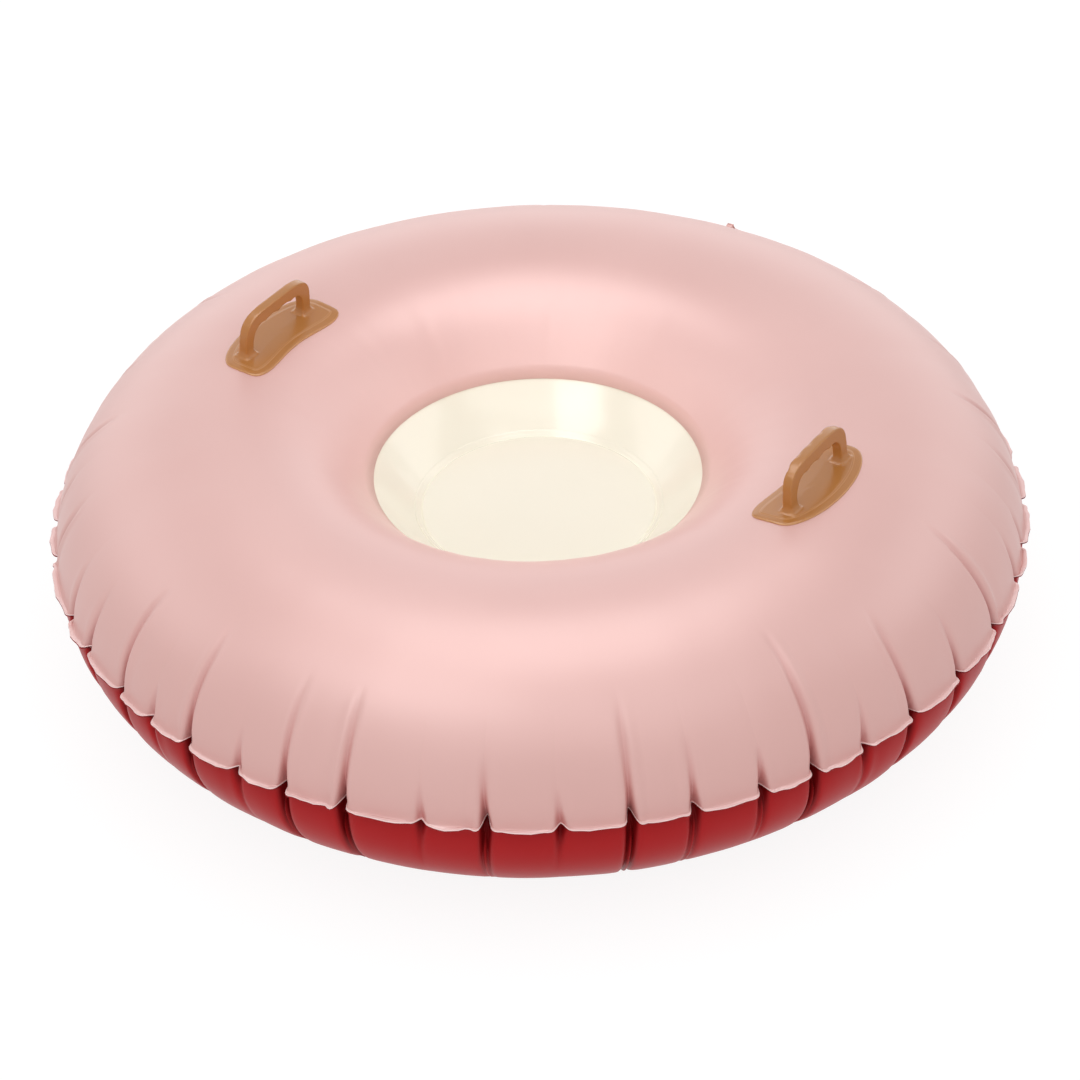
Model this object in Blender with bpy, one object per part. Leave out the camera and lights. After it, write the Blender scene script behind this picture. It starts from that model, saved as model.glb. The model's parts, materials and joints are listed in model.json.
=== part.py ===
"""Inflatable snow tube: a welded vinyl ring with a seat in its middle.

A pink upper skin and a red lower skin are welded together round the rim, where the
inflated film gathers in puckers. A cream wall and floor close the seat, two moulded
handles stand on the crown of the ring, and a capped air valve sits on its outer flank.

Metres, +Z up. The origin is on the ground under the middle of the ring. One handle
stands on +X, the other on -X, and the valve faces +Y.
"""

import math

import bmesh
import bpy
from mathutils import Matrix, Vector

# Film and fits
FILM = 0.0008
GAP = 0.0003
WELD_MARGIN = 0.006

# The inflated ring
RING_RADIUS = 0.300
OUTER_HALF_WIDTH = 0.156
HALF_HEIGHT = 0.123
REST_BAND = 0.040
RIM_RISE = 0.004

# The seat well
SEAM_RADIUS = 0.1535
SEAM_DROP = 0.074
SEAM_SLOPE = math.radians(50)
CROWN_FLAT = 0.090
SEAM_RUN = 0.055
FLOOR_RADIUS = 0.111
FLOOR_DROP = 0.112
SEAM_LAP = 0.008
FLOOR_LAP = 0.008
FOOT_WELD = 0.006
WALL_HOLLOW = 0.0015

# Puckers round the rim: how far a full one is drawn in, its half width at the rim, the
# angle from the ring's middle to which the longest one climbs, and how fast it fades
PUCKER_DEPTH = 0.022
PUCKER_HALF_WIDTH = 0.009
PUCKER_CLIMB = math.radians(52)
PUCKER_FADE_POWER = 1.6

# Direction of each pucker in degrees, its depth and its climb
PUCKER_SHARES = [
    (1.8, 0.90, 0.95), (11.0, 0.45, 0.40), (17.5, 0.40, 0.35), (26.3, 0.60, 0.60),
    (34.1, 0.90, 0.85), (41.8, 0.40, 0.45), (49.3, 0.80, 0.75), (58.0, 0.60, 0.55),
    (65.2, 1.00, 0.90), (73.0, 0.35, 0.40), (79.6, 0.60, 0.30), (86.0, 0.35, 0.22),
    (94.2, 0.40, 0.22), (101.0, 0.80, 0.45), (109.1, 0.50, 0.55), (116.3, 0.95, 0.90),
    (124.4, 0.40, 0.40), (131.5, 0.75, 0.70), (140.2, 0.90, 0.85), (147.4, 0.45, 0.45),
    (155.6, 0.70, 0.65), (163.0, 0.35, 0.40), (170.9, 0.95, 0.95), (179.3, 0.60, 0.60),
    (187.0, 0.80, 0.70), (194.8, 0.35, 0.40), (202.1, 0.85, 0.85), (209.4, 0.50, 0.50),
    (216.3, 0.70, 0.60), (228.0, 0.50, 0.50), (234.2, 0.60, 0.55), (242.9, 1.00, 0.85),
    (248.9, 0.25, 0.30), (255.1, 0.90, 0.90), (262.5, 0.30, 0.35), (268.6, 0.80, 0.80),
    (275.8, 1.00, 0.80), (284.8, 0.25, 0.30), (291.8, 0.80, 0.50), (299.8, 0.30, 0.30),
    (307.4, 0.85, 0.85), (314.4, 0.60, 0.55), (322.3, 0.60, 0.35), (328.8, 1.00, 1.00),
    (335.7, 0.35, 0.40), (343.4, 0.95, 0.80), (352.2, 0.65, 0.50),
]

# Rings of the film between the rim and the crown, and from the crown down to a seam
OUTER_RING_SHARES = (0.0, 0.09, 0.21, 0.37, 0.58, 0.79, 1.0)
INNER_RING_SHARES = (0.22, 0.45, 0.7, 0.87, 1.0)
WALL_RING_SHARES = (0.0, 0.5, 1.0)
LAP_RING_SHARES = (0.5, 1.0)
LAP_CURVE_SHARE = 0.1

# Handles
HANDLE_RADIUS = 0.275
HANDLE_YAW = math.radians(-6)
PLATE_THICKNESS = 0.0020
PLATE_HALF_LENGTH = 0.068
PLATE_INNER_REACH = 0.021
PLATE_INNER_HOLLOW = 0.005
PLATE_OUTER_REACH = 0.034
PLATE_OUTER_BOW = 0.014
PLATE_BLOCK = 0.030
GRIP_OFFSET = 0.006
GRIP_HALF_LENGTH = 0.050
GRIP_HEIGHT = 0.043
GRIP_BAR = 0.0135
GRIP_LEG = 0.0125
GRIP_WIDTH = 0.0125
GRIP_ROUNDING = 0.0035
GRIP_FOOT_FLARE = 0.004
GRIP_FOOT_HEIGHT = 0.006
FINGER_SCALLOP = 0.0016
FINGERS = 4

# Air valve
VALVE_CLIMB = math.radians(30)
FLANGE_RADIUS = 0.0235
FLANGE_THICKNESS = 0.0014
COLLAR_RADIUS = 0.0105
COLLAR_HEIGHT = 0.0030
STEM_RADIUS = 0.0075
STEM_LENGTH = 0.0220
HOLE_CLEARANCE = 0.0004
BORE_RADIUS = 0.0050
SEAT_LENGTH = 0.0060
SEAT_SPREAD = 0.0015
PLUG_CLEARANCE = 0.00035
PLUG_WALL = 0.0010
CAP_RADIUS = 0.0098
CAP_THICKNESS = 0.0018
STRAP_REACH = 0.0190
STRAP_WIDTH = 0.0056
STRAP_THICKNESS = 0.0012
BARREL_RADIUS = 0.0009
TAB_REACH = 0.0140
TAB_WIDTH = 0.0070
ROOT_LENGTH = 0.0050
ROOT_WIDTH = 0.0064
FLAP_RADIUS = 0.0066
FLAP_THICKNESS = 0.0008

# Counts, powers of the rounded outlines, and how finely meshes are merged and shaded
TURN_STEPS = 24
PLATE_POINTS = 40
ARCH_POINTS = 22
ROUNDING_SEGMENTS = 2
HALVINGS = 40
CORNER_POWER = 5.0
ARCH_POWER = 2.8
MERGE_SHARE = 0.01
SMOOTH_ANGLE = math.radians(35)

# Columns of film at each pucker: a shoulder, the valley and the other shoulder
PUCKER_COLUMNS = 3
VALLEY = 1

# Levels that follow from the sizes above
REST_HALF = REST_BAND / 2
MIDDLE = HALF_HEIGHT * math.sqrt(1 - (REST_HALF / OUTER_HALF_WIDTH) ** 2)
CROWN = MIDDLE + HALF_HEIGHT
RIM_LEVEL = MIDDLE + RIM_RISE
RIM_RADIUS = RING_RADIUS + OUTER_HALF_WIDTH
SEAM_LEVEL = CROWN - SEAM_DROP
FLOOR_LEVEL = CROWN - FLOOR_DROP
LAYER = FILM + GAP
HINGE_HEIGHT = COLLAR_HEIGHT + GAP + CAP_THICKNESS / 2


def clear_scene():
    """Empty the scene, so that a second run starts from nothing."""
    for obj in list(bpy.data.objects):
        bpy.data.objects.remove(obj, do_unlink=True)


def make_material(name, colour, roughness, metallic=0.0):
    """A plain surface of one colour, given as linear red, green and blue."""
    material = bpy.data.materials.new(name)
    material.use_nodes = True
    shader = material.node_tree.nodes["Principled BSDF"]
    shader.inputs["Base Color"].default_value = (*colour, 1.0)
    shader.inputs["Roughness"].default_value = roughness
    shader.inputs["Metallic"].default_value = metallic
    return material


def add_object(name, bm, material=None, matrix=None):
    """Turn a finished bmesh into a named object, shaded smooth but for its sharp edges."""
    mesh = bpy.data.meshes.new(name)
    bm.to_mesh(mesh)
    bm.free()
    mesh.shade_smooth()
    mesh.set_sharp_from_angle(angle=SMOOTH_ANGLE)
    obj = bpy.data.objects.new(name, mesh)
    bpy.context.collection.objects.link(obj)
    if matrix is not None:
        obj.matrix_world = matrix
    if material is not None:
        mesh.materials.append(material)
    return obj


def as_cutter(obj):
    """Mark an object as a guide that only shapes others."""
    obj.hide_render = True
    obj.display_type = "WIRE"
    return obj


def add_boolean(obj, operation, cutter):
    """Cut, join or intersect an object with another one."""
    boolean = obj.modifiers.new(operation.lower(), "BOOLEAN")
    boolean.operation = operation
    boolean.solver = "EXACT"
    boolean.object = cutter


# Profiles of the films, as radius and height of the face that shows


def outer_point(turn):
    """The ring's outer flank, at an angle above or below its middle."""
    radius = RING_RADIUS + OUTER_HALF_WIDTH * math.cos(turn)
    return Vector((radius, MIDDLE + HALF_HEIGHT * math.sin(turn)))


def outer_normal(turn):
    """Direction square to the outer flank."""
    across = Vector((math.cos(turn) / OUTER_HALF_WIDTH, math.sin(turn) / HALF_HEIGHT))
    return across.normalized()


def bezier(points, share):
    """Point on a cubic curve."""
    back = 1 - share
    weights = (back**3, 3 * back * back * share, 3 * back * share * share, share**3)
    return sum((point * weight for point, weight in zip(points, weights)), Vector((0, 0)))


def bezier_slope(points, share):
    """Unit direction in which a cubic curve runs."""
    back = 1 - share
    steps = [after - before for before, after in zip(points, points[1:])]
    weights = (back * back, 2 * back * share, share * share)
    total = sum((step * weight for step, weight in zip(steps, weights)), Vector((0, 0)))
    return total.normalized()


def crown_curve():
    """The upper skin from the crown down to the seam, level at first."""
    seam = Vector((SEAM_RADIUS, SEAM_LEVEL))
    uphill = Vector((math.cos(SEAM_SLOPE), math.sin(SEAM_SLOPE)))
    crown = Vector((RING_RADIUS, CROWN))
    return [crown, crown - Vector((CROWN_FLAT, 0)), seam + uphill * SEAM_RUN, seam]


def left_of(direction):
    """Direction turned a quarter turn to the left in the profile plane."""
    return Vector((-direction.y, direction.x))


def offset_line(points, distance):
    """Shift a line of profile points sideways to its left, with mitred corners."""
    runs = [(after - before).normalized() for before, after in zip(points, points[1:])]
    shifted = []
    for index, point in enumerate(points):
        before = left_of(runs[max(index - 1, 0)])
        after = left_of(runs[min(index, len(runs) - 1)])
        mitre = (before + after) / (1 + before.dot(after))
        shifted.append(point + mitre * distance)
    return shifted


def trim_line(points, length):
    """Keep the first stretch of a line."""
    kept = [points[0]]
    left = length
    for before, after in zip(points, points[1:]):
        run = (after - before).length
        if run >= left:
            kept.append(before.lerp(after, left / run))
            return kept
        kept.append(after)
        left -= run
    return kept


def below_crown(share):
    """Face of what lies one layer below the upper skin, at a place on the crown curve."""
    curve = crown_curve()
    return bezier(curve, share) + left_of(bezier_slope(curve, share)) * LAYER


def wall_line():
    """Face of the well's wall, from the floor's corner up to the seam, slightly hollow."""
    corner = Vector((FLOOR_RADIUS, FLOOR_LEVEL - LAYER))
    run = below_crown(1.0) - corner
    hollow = left_of(run.normalized()) * WALL_HOLLOW
    return [
        corner + run * share - hollow * math.sin(math.pi * share)
        for share in WALL_RING_SHARES
    ]


def top_profile():
    """Upper skin, from the edge of its weld margin to the seam."""
    level = RIM_LEVEL + GAP / 2 + FILM
    start = math.asin((level - MIDDLE) / HALF_HEIGHT)
    quarter = math.pi / 2 - start
    points = [Vector((RIM_RADIUS + WELD_MARGIN, level))]
    points += [outer_point(start + share * quarter) for share in OUTER_RING_SHARES]
    points += [bezier(crown_curve(), share) for share in INNER_RING_SHARES]
    return points


def wall_profile():
    """Well wall: a foot in the floor's weld, the wall, and the lap under the upper skin."""
    wall = wall_line()
    foot = wall[0] - Vector((FOOT_WELD, 0))
    last_run = (below_crown(1.0) - below_crown(1 - LAP_CURVE_SHARE)).length
    lap = LAP_CURVE_SHARE * SEAM_LAP / last_run
    return [foot] + wall + [below_crown(1 - lap * share) for share in LAP_RING_SHARES]


def floor_profile():
    """Floor: a flat disc whose edge laps up on the wall."""
    corner_out = [Vector((0, FLOOR_LEVEL - LAYER))] + wall_line()
    above = offset_line(corner_out, LAYER)
    lip = trim_line(above[1:], FLOOR_LAP)
    return [above[0]] + lip


def bottom_profile():
    """Lower skin, from the edge of its weld margin under the ring to the axis."""
    level = RIM_LEVEL - GAP / 2 - FILM
    start = math.asin((level - MIDDLE) / HALF_HEIGHT)
    rest = -math.acos(REST_HALF / OUTER_HALF_WIDTH)
    points = [Vector((RIM_RADIUS + WELD_MARGIN, level))]
    points += [outer_point(start + share * (rest - start)) for share in OUTER_RING_SHARES]
    under = FLOOR_LEVEL - 2 * LAYER - FILM
    inner = Vector((RING_RADIUS - REST_HALF, 0))
    points.append(inner)
    land = FLOOR_RADIUS + FILM
    for share in INNER_RING_SHARES:
        turn = share * math.pi / 2
        radius = inner.x - (inner.x - land) * math.sin(turn)
        points.append(Vector((radius, under * (1 - math.cos(turn)))))
    points.append(Vector((0, under)))
    return points


# The films


def column_angles():
    """Directions of the columns of film: a valley and its two shoulders at each pucker."""
    half = PUCKER_HALF_WIDTH / RIM_RADIUS
    columns = []
    for valley in valley_angles():
        columns += [valley - half, valley, valley + half]
    return columns


def valley_angles():
    """Direction of each pucker's valley."""
    return [math.radians(degrees) for degrees, _, _ in PUCKER_SHARES]


def pucker_shift(climb, depth_share, climb_share):
    """How far a valley is drawn in at an angle above or below the ring's middle."""
    left = max(0.0, 1 - abs(climb) / (PUCKER_CLIMB * climb_share))
    return PUCKER_DEPTH * depth_share * left**PUCKER_FADE_POWER


def turn_sheet(profile, angles):
    """Spin a profile into a sheet whose columns stand at the given angles."""
    bm = bmesh.new()
    ring = bm.verts.layers.int.new("ring")
    column = bm.verts.layers.int.new("column")
    verts = [bm.verts.new((point.x, 0, point.y)) for point in profile]
    for index, vert in enumerate(verts):
        vert[ring] = index
    edges = [bm.edges.new(pair) for pair in zip(verts, verts[1:])]
    count = len(angles)
    bmesh.ops.spin(
        bm, geom=verts + edges, cent=(0, 0, 0), axis=(0, 0, 1),
        angle=math.tau, steps=count, use_merge=True,
    )
    bmesh.ops.remove_doubles(bm, verts=bm.verts, dist=FILM * MERGE_SHARE)
    for vert in bm.verts:
        index = round(math.atan2(vert.co.y, vert.co.x) / math.tau * count) % count
        vert[column] = index
        radius = math.hypot(vert.co.x, vert.co.y)
        vert.co.x = radius * math.cos(angles[index])
        vert.co.y = radius * math.sin(angles[index])
    return bm


def flank_climb(vert):
    """Angle of a film point above or below the ring's middle, as on the outer flank."""
    radius = math.hypot(vert.co.x, vert.co.y)
    across = (radius - RING_RADIUS) / OUTER_HALF_WIDTH
    return math.atan2((vert.co.z - MIDDLE) / HALF_HEIGHT, across)


def draw_in_puckers(bm):
    """Pull each valley column in, square to the flank; the weld margin stays level."""
    column = bm.verts.layers.int["column"]
    ring = bm.verts.layers.int["ring"]
    for vert in bm.verts:
        if vert[column] % PUCKER_COLUMNS != VALLEY:
            continue
        climb = flank_climb(vert)
        _, depth_share, climb_share = PUCKER_SHARES[vert[column] // PUCKER_COLUMNS]
        shift = pucker_shift(climb, depth_share, climb_share)
        radius = math.hypot(vert.co.x, vert.co.y)
        normal = Vector((1, 0)) if vert[ring] < 2 else outer_normal(climb)
        keep = (radius - normal.x * shift) / radius if radius > 0 else 1
        vert.co.x *= keep
        vert.co.y *= keep
        vert.co.z -= normal.y * shift


def thin_out_columns(bm):
    """Past the puckers' ends, keep one column of film for each pucker."""
    column = bm.verts.layers.int["column"]
    spare = []
    for edge in bm.edges:
        first, last = edge.verts
        shoulder = first[column] % PUCKER_COLUMNS != VALLEY
        same = first[column] == last[column] and shoulder
        if same and min(abs(flank_climb(first)), abs(flank_climb(last))) >= PUCKER_CLIMB:
            spare.append(edge)
    bmesh.ops.dissolve_edges(bm, edges=spare, use_verts=True)


def shift_rings(bm, verts, angles, shifts):
    """Move film points by their ring's shift in radius and height."""
    ring = bm.verts.layers.int["ring"]
    column = bm.verts.layers.int["column"]
    for vert in verts:
        angle = angles[vert[column]]
        shift = shifts[vert[ring]]
        vert.co += Vector((shift.x * math.cos(angle), shift.x * math.sin(angle), shift.y))


def film_body(profile, side, low, high, puckers):
    """Closed body of a film between two heights over its outer face.

    The side is 1 where the face looks to the left of the profile's line, or else -1.
    """
    angles = column_angles() if puckers else valley_angles()
    bm = turn_sheet(profile, angles)
    if puckers:
        draw_in_puckers(bm)
        thin_out_columns(bm)
    bmesh.ops.triangulate(bm, faces=bm.faces)
    under = [moved - point for moved, point in zip(offset_line(profile, side * low), profile)]
    over = [moved - point for moved, point in zip(offset_line(profile, side * high), profile)]
    rise = [last - first for first, last in zip(under, over)]
    shift_rings(bm, bm.verts, angles, under)
    swept = bmesh.ops.extrude_face_region(bm, geom=bm.faces)
    fresh = [item for item in swept["geom"] if isinstance(item, bmesh.types.BMVert)]
    shift_rings(bm, fresh, angles, rise)
    bmesh.ops.recalc_face_normals(bm, faces=bm.faces)
    return bm


def build_films(materials):
    """The four films of the chamber; returns the upper skin."""
    films = (
        ("top_skin", top_profile(), -1, True, "pink"),
        ("bottom_skin", bottom_profile(), 1, True, "red"),
        ("well_wall", wall_profile(), 1, False, "cream"),
        ("floor_panel", floor_profile(), 1, False, "cream"),
    )
    made = {}
    for name, profile, side, puckers, colour in films:
        body = film_body(profile, side, -FILM, 0, puckers)
        made[name] = add_object(name, body, materials[colour])
    return made["top_skin"]


def layer_over_top(name, low, thickness):
    """A guide that fills a layer of one thickness over the upper skin."""
    return as_cutter(add_object(name, film_body(top_profile(), -1, low, low + thickness, True)))


# Handles


def crown_share_at(radius):
    """Place on the crown curve that lies at a distance from the axis."""
    low, high = 0.0, 1.0
    for _ in range(HALVINGS):
        middle = (low + high) / 2
        if bezier(crown_curve(), middle).x > radius:
            low = middle
        else:
            high = middle
    return (low + high) / 2


def frame_on(point, normal, direction):
    """Frame on the ring's surface: x outwards in plan or uphill, z along the normal."""
    turn = Matrix.Rotation(direction, 4, "Z")
    tilt = Matrix.Rotation(math.atan2(normal.x, normal.y), 4, "Y")
    return turn @ Matrix.Translation((point.x, 0, point.y)) @ tilt


def handle_frame(direction):
    """Frame of a handle: x away from the well, y along the grip, z off the skin."""
    share = crown_share_at(HANDLE_RADIUS)
    normal = -left_of(bezier_slope(crown_curve(), share))
    place = frame_on(bezier(crown_curve(), share), normal, direction)
    return place @ Matrix.Rotation(HANDLE_YAW, 4, "Z")


def rounded(angle, power):
    """Point of a unit square with round corners."""
    across, along = math.cos(angle), math.sin(angle)
    return (
        math.copysign(abs(across) ** (2 / power), across),
        math.copysign(abs(along) ** (2 / power), along),
    )


def plate_outline():
    """Kidney outline of a handle's plate: hollow towards the well, bowed outwards."""
    points = []
    for index in range(PLATE_POINTS):
        across, along = rounded(math.tau * index / PLATE_POINTS, CORNER_POWER)
        inner = -PLATE_INNER_REACH - PLATE_INNER_HOLLOW * along * along
        outer = PLATE_OUTER_REACH - PLATE_OUTER_BOW * along * along
        x = inner + (outer - inner) * (across + 1) / 2
        points.append((x, PLATE_HALF_LENGTH * along))
    return points


def extrude_outline(corners, shift):
    """Closed block: a flat outline moved along a vector."""
    bm = bmesh.new()
    face = bm.faces.new([bm.verts.new(corner) for corner in corners])
    swept = bmesh.ops.extrude_face_region(bm, geom=[face])
    moved = [item for item in swept["geom"] if isinstance(item, bmesh.types.BMVert)]
    bmesh.ops.translate(bm, verts=moved, vec=shift)
    bmesh.ops.recalc_face_normals(bm, faces=bm.faces)
    return bm


def arch_outline():
    """Side outline of a grip in y and z: an arch on two feet, scalloped for the fingers."""
    base = GAP + PLATE_THICKNESS / 2
    foot = GAP + PLATE_THICKNESS
    knee = foot + GRIP_FOOT_HEIGHT
    tall = GRIP_HEIGHT - base
    toe = GRIP_HALF_LENGTH + GRIP_FOOT_FLARE
    outer = [(toe, base), (toe, foot)]
    for index in range(ARCH_POINTS + 1):
        along, up = rounded(math.pi * index / ARCH_POINTS, ARCH_POWER)
        outer.append((GRIP_HALF_LENGTH * along, max(base + tall * up, knee)))
    outer += [(-toe, foot), (-toe, base)]
    inner_length = GRIP_HALF_LENGTH - GRIP_LEG
    inner_height = tall - GRIP_BAR
    heel = inner_length - GRIP_FOOT_FLARE
    inner_points = 2 * ARCH_POINTS
    inner = [(heel, base), (heel, foot)]
    for index in range(inner_points + 1):
        along, up = rounded(math.pi * index / inner_points, ARCH_POWER)
        waves = abs(math.sin(math.pi * (along + 1) / 2 * FINGERS))
        rise = base + inner_height * up - FINGER_SCALLOP * (1 - waves) * up
        inner.append((inner_length * along, max(rise, knee)))
    inner += [(-heel, foot), (-heel, base)]
    return merge_near(outer + inner[::-1])


def merge_near(points):
    """Drop points that lie on the one before."""
    kept = []
    for point in points:
        if not kept or math.dist(point, kept[-1]) > GAP:
            kept.append(point)
    return kept


def build_grip(name, frame):
    """Guide body of one grip, round along its long edges."""
    side = GRIP_OFFSET - GRIP_WIDTH / 2
    corners = [(side, y, z) for y, z in arch_outline()]
    bm = extrude_outline(corners, (GRIP_WIDTH, 0, 0))
    spans = {edge: abs(edge.verts[0].co.x - edge.verts[1].co.x) for edge in bm.edges}
    long_edges = [edge for edge, span in spans.items() if span < GAP]
    bmesh.ops.bevel(
        bm, geom=long_edges, offset=GRIP_ROUNDING, offset_type="OFFSET", affect="EDGES",
        segments=ROUNDING_SEGMENTS, profile=0.5, material=-1, clamp_overlap=True,
    )
    return as_cutter(add_object(name, bm, matrix=frame))


def build_handle(name, direction, layer, material):
    """One moulded handle: a thin plate that follows the skin, with its grip."""
    frame = handle_frame(direction)
    corners = [(x, y, -PLATE_BLOCK) for x, y in plate_outline()]
    block = extrude_outline(corners, (0, 0, 2 * PLATE_BLOCK))
    handle = add_object(name, block, material, frame)
    add_boolean(handle, "INTERSECT", layer)
    add_boolean(handle, "UNION", build_grip(name + "_arch", frame))


# Air valve


def turned(outline, steps=TURN_STEPS):
    """Spin an outline of radius and height about z, closed or from axis to axis."""
    bm = bmesh.new()
    verts = [bm.verts.new((radius, 0, height)) for radius, height in outline]
    edges = [bm.edges.new(pair) for pair in zip(verts, verts[1:])]
    if outline[0][0] > 0:
        edges.append(bm.edges.new((verts[-1], verts[0])))
    bmesh.ops.spin(
        bm, geom=verts + edges, cent=(0, 0, 0), axis=(0, 0, 1),
        angle=math.tau, steps=steps, use_merge=True,
    )
    bmesh.ops.remove_doubles(bm, verts=bm.verts, dist=FILM * MERGE_SHARE)
    bmesh.ops.dissolve_degenerate(bm, edges=bm.edges, dist=FILM * MERGE_SHARE)
    bmesh.ops.recalc_face_normals(bm, faces=bm.faces)
    return bm


def block(low, high):
    """Closed box between two corners."""
    bm = bmesh.new()
    made = bmesh.ops.create_cube(bm, size=1)
    size = Vector(high) - Vector(low)
    bmesh.ops.scale(bm, vec=size, verts=made["verts"])
    bmesh.ops.translate(bm, vec=Vector(low) + size / 2, verts=made["verts"])
    return bm


def valve_frame():
    """Frame of the valve: x downhill, z off the skin, on the flank that faces +Y."""
    return frame_on(outer_point(VALVE_CLIMB), outer_normal(VALVE_CLIMB), math.pi / 2)


def seat_radius(height):
    """Radius of the conical seat at a height above the skin."""
    depth = COLLAR_HEIGHT - height
    return BORE_RADIUS + SEAT_SPREAD * (1 - depth / SEAT_LENGTH)


def sleeve(inner, outer, low, high):
    """Closed ring with square edges, turned about z."""
    return turned([(inner, low), (inner, high), (outer, high), (outer, low)], 2 * TURN_STEPS)


def disc(radius, low, high):
    """Closed round plate, turned about z."""
    return turned([(0, low), (radius, low), (radius, high), (0, high)])


def build_valve_body(top, frame, material):
    """Flange, collar, stem and strap root, moulded in one, with the bore right through."""
    outline = [
        (BORE_RADIUS, -STEM_LENGTH),
        (BORE_RADIUS, COLLAR_HEIGHT - SEAT_LENGTH),
        (BORE_RADIUS + SEAT_SPREAD, COLLAR_HEIGHT),
        (STEM_RADIUS, COLLAR_HEIGHT),
        (STEM_RADIUS, -STEM_LENGTH),
    ]
    body = add_object("valve_body", turned(outline), material, frame)
    inside = (STEM_RADIUS + BORE_RADIUS + SEAT_SPREAD) / 2
    collar_top = COLLAR_HEIGHT - GAP
    flange = sleeve(inside, FLANGE_RADIUS, -STEM_LENGTH, STEM_LENGTH)
    collar = sleeve(inside, COLLAR_RADIUS, -STEM_LENGTH, collar_top)
    root = block(
        (-STRAP_REACH - ROOT_LENGTH / 2, -ROOT_WIDTH / 2, -STEM_LENGTH),
        (-STRAP_REACH + ROOT_LENGTH / 2, ROOT_WIDTH / 2, HINGE_HEIGHT - BARREL_RADIUS - GAP),
    )
    flange_layer = layer_over_top("flange_layer", GAP, FLANGE_THICKNESS)
    upper_layer = layer_over_top("upper_layer", GAP + FLANGE_THICKNESS / 2, STEM_LENGTH)
    for name, bm, layer in (
        ("flange", flange, flange_layer),
        ("collar", collar, upper_layer),
        ("strap_root", root, upper_layer),
    ):
        guide = as_cutter(add_object(name, bm, matrix=frame))
        add_boolean(guide, "INTERSECT", layer)
        add_boolean(body, "UNION", guide)
    hole = disc(STEM_RADIUS + HOLE_CLEARANCE, -STEM_LENGTH, STEM_LENGTH)
    add_boolean(top, "DIFFERENCE", as_cutter(add_object("stem_hole", hole, matrix=frame)))


def build_stopper(frame, material):
    """Cap, strap, pull tab and hollow tapered plug; its origin is the strap's hinge line."""
    under = COLLAR_HEIGHT + GAP
    strap_low = HINGE_HEIGHT - STRAP_THICKNESS / 2
    strap_high = HINGE_HEIGHT + STRAP_THICKNESS / 2
    hinge = Vector((-STRAP_REACH, 0, HINGE_HEIGHT))
    tip = COLLAR_HEIGHT - SEAT_LENGTH
    mouth_radius = seat_radius(COLLAR_HEIGHT) - PLUG_CLEARANCE
    tip_radius = seat_radius(tip) - PLUG_CLEARANCE
    plug = turned([
        (mouth_radius, HINGE_HEIGHT),
        (mouth_radius, COLLAR_HEIGHT),
        (tip_radius, tip),
        (tip_radius - PLUG_WALL, tip),
        (tip_radius - PLUG_WALL, HINGE_HEIGHT),
    ])
    strap = block(
        (-STRAP_REACH, -STRAP_WIDTH / 2, strap_low),
        (-tip_radius, STRAP_WIDTH / 2, strap_high),
    )
    tab = block(
        (tip_radius, -TAB_WIDTH / 2, strap_low),
        (TAB_REACH, TAB_WIDTH / 2, strap_high),
    )
    barrel = turned([
        (0, -ROOT_WIDTH / 2), (BARREL_RADIUS, -ROOT_WIDTH / 2),
        (BARREL_RADIUS, ROOT_WIDTH / 2), (0, ROOT_WIDTH / 2),
    ], TURN_STEPS // 2)
    lay_down = Matrix.Rotation(math.pi / 2, 4, "X")
    bmesh.ops.transform(barrel, matrix=Matrix.Translation(hinge) @ lay_down, verts=barrel.verts)
    cap = disc(CAP_RADIUS, under, under + CAP_THICKNESS)
    bmesh.ops.translate(cap, verts=cap.verts, vec=-hinge)
    stopper = add_object("valve_stopper", cap, material, frame @ Matrix.Translation(hinge))
    for name, bm in (("plug", plug), ("strap", strap), ("pull_tab", tab), ("barrel", barrel)):
        add_boolean(stopper, "UNION", as_cutter(add_object(name, bm, matrix=frame)))


def build_flap(frame, material):
    """Check flap under the bore; its origin is the line on which it bends."""
    face = -STEM_LENGTH - GAP
    hinge = Vector((-FLAP_RADIUS, 0, face - FLAP_THICKNESS / 2))
    flap = disc(FLAP_RADIUS, face - FLAP_THICKNESS, face)
    bmesh.ops.translate(flap, verts=flap.verts, vec=-hinge)
    add_object("valve_flap", flap, material, frame @ Matrix.Translation(hinge))


def main():
    clear_scene()
    materials = {
        "pink": make_material("pink_film", (0.80, 0.53, 0.49), 0.38),
        "cream": make_material("cream_film", (0.95, 0.88, 0.76), 0.25),
        "red": make_material("red_film", (0.29, 0.030, 0.030), 0.35),
        "camel": make_material("camel_vinyl", (0.48, 0.215, 0.080), 0.35),
        "valve": make_material("valve_vinyl", (0.80, 0.53, 0.49), 0.35),
    }
    top = build_films(materials)
    plate_layer = layer_over_top("plate_layer", GAP, PLATE_THICKNESS)
    build_handle("right_handle", 0.0, plate_layer, materials["camel"])
    build_handle("left_handle", math.pi, plate_layer, materials["camel"])
    frame = valve_frame()
    build_valve_body(top, frame, materials["valve"])
    build_stopper(frame, materials["valve"])
    build_flap(frame, materials["valve"])


main()
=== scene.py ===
# %% [markdown]
# # An inflated snow tube, dressed over its CAD frame
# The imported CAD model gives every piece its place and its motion. This script gives the
# pieces their looks: the puckered vinyl films, the moulded handles and the air valve. The
# frame is loaded first, and its box is measured before anything is added to it.

import json
import math
import random

import bmesh
import bpy
from mathutils import Matrix, Vector, noise
from mathutils.bvhtree import BVHTree
from mathutils.kdtree import KDTree


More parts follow.
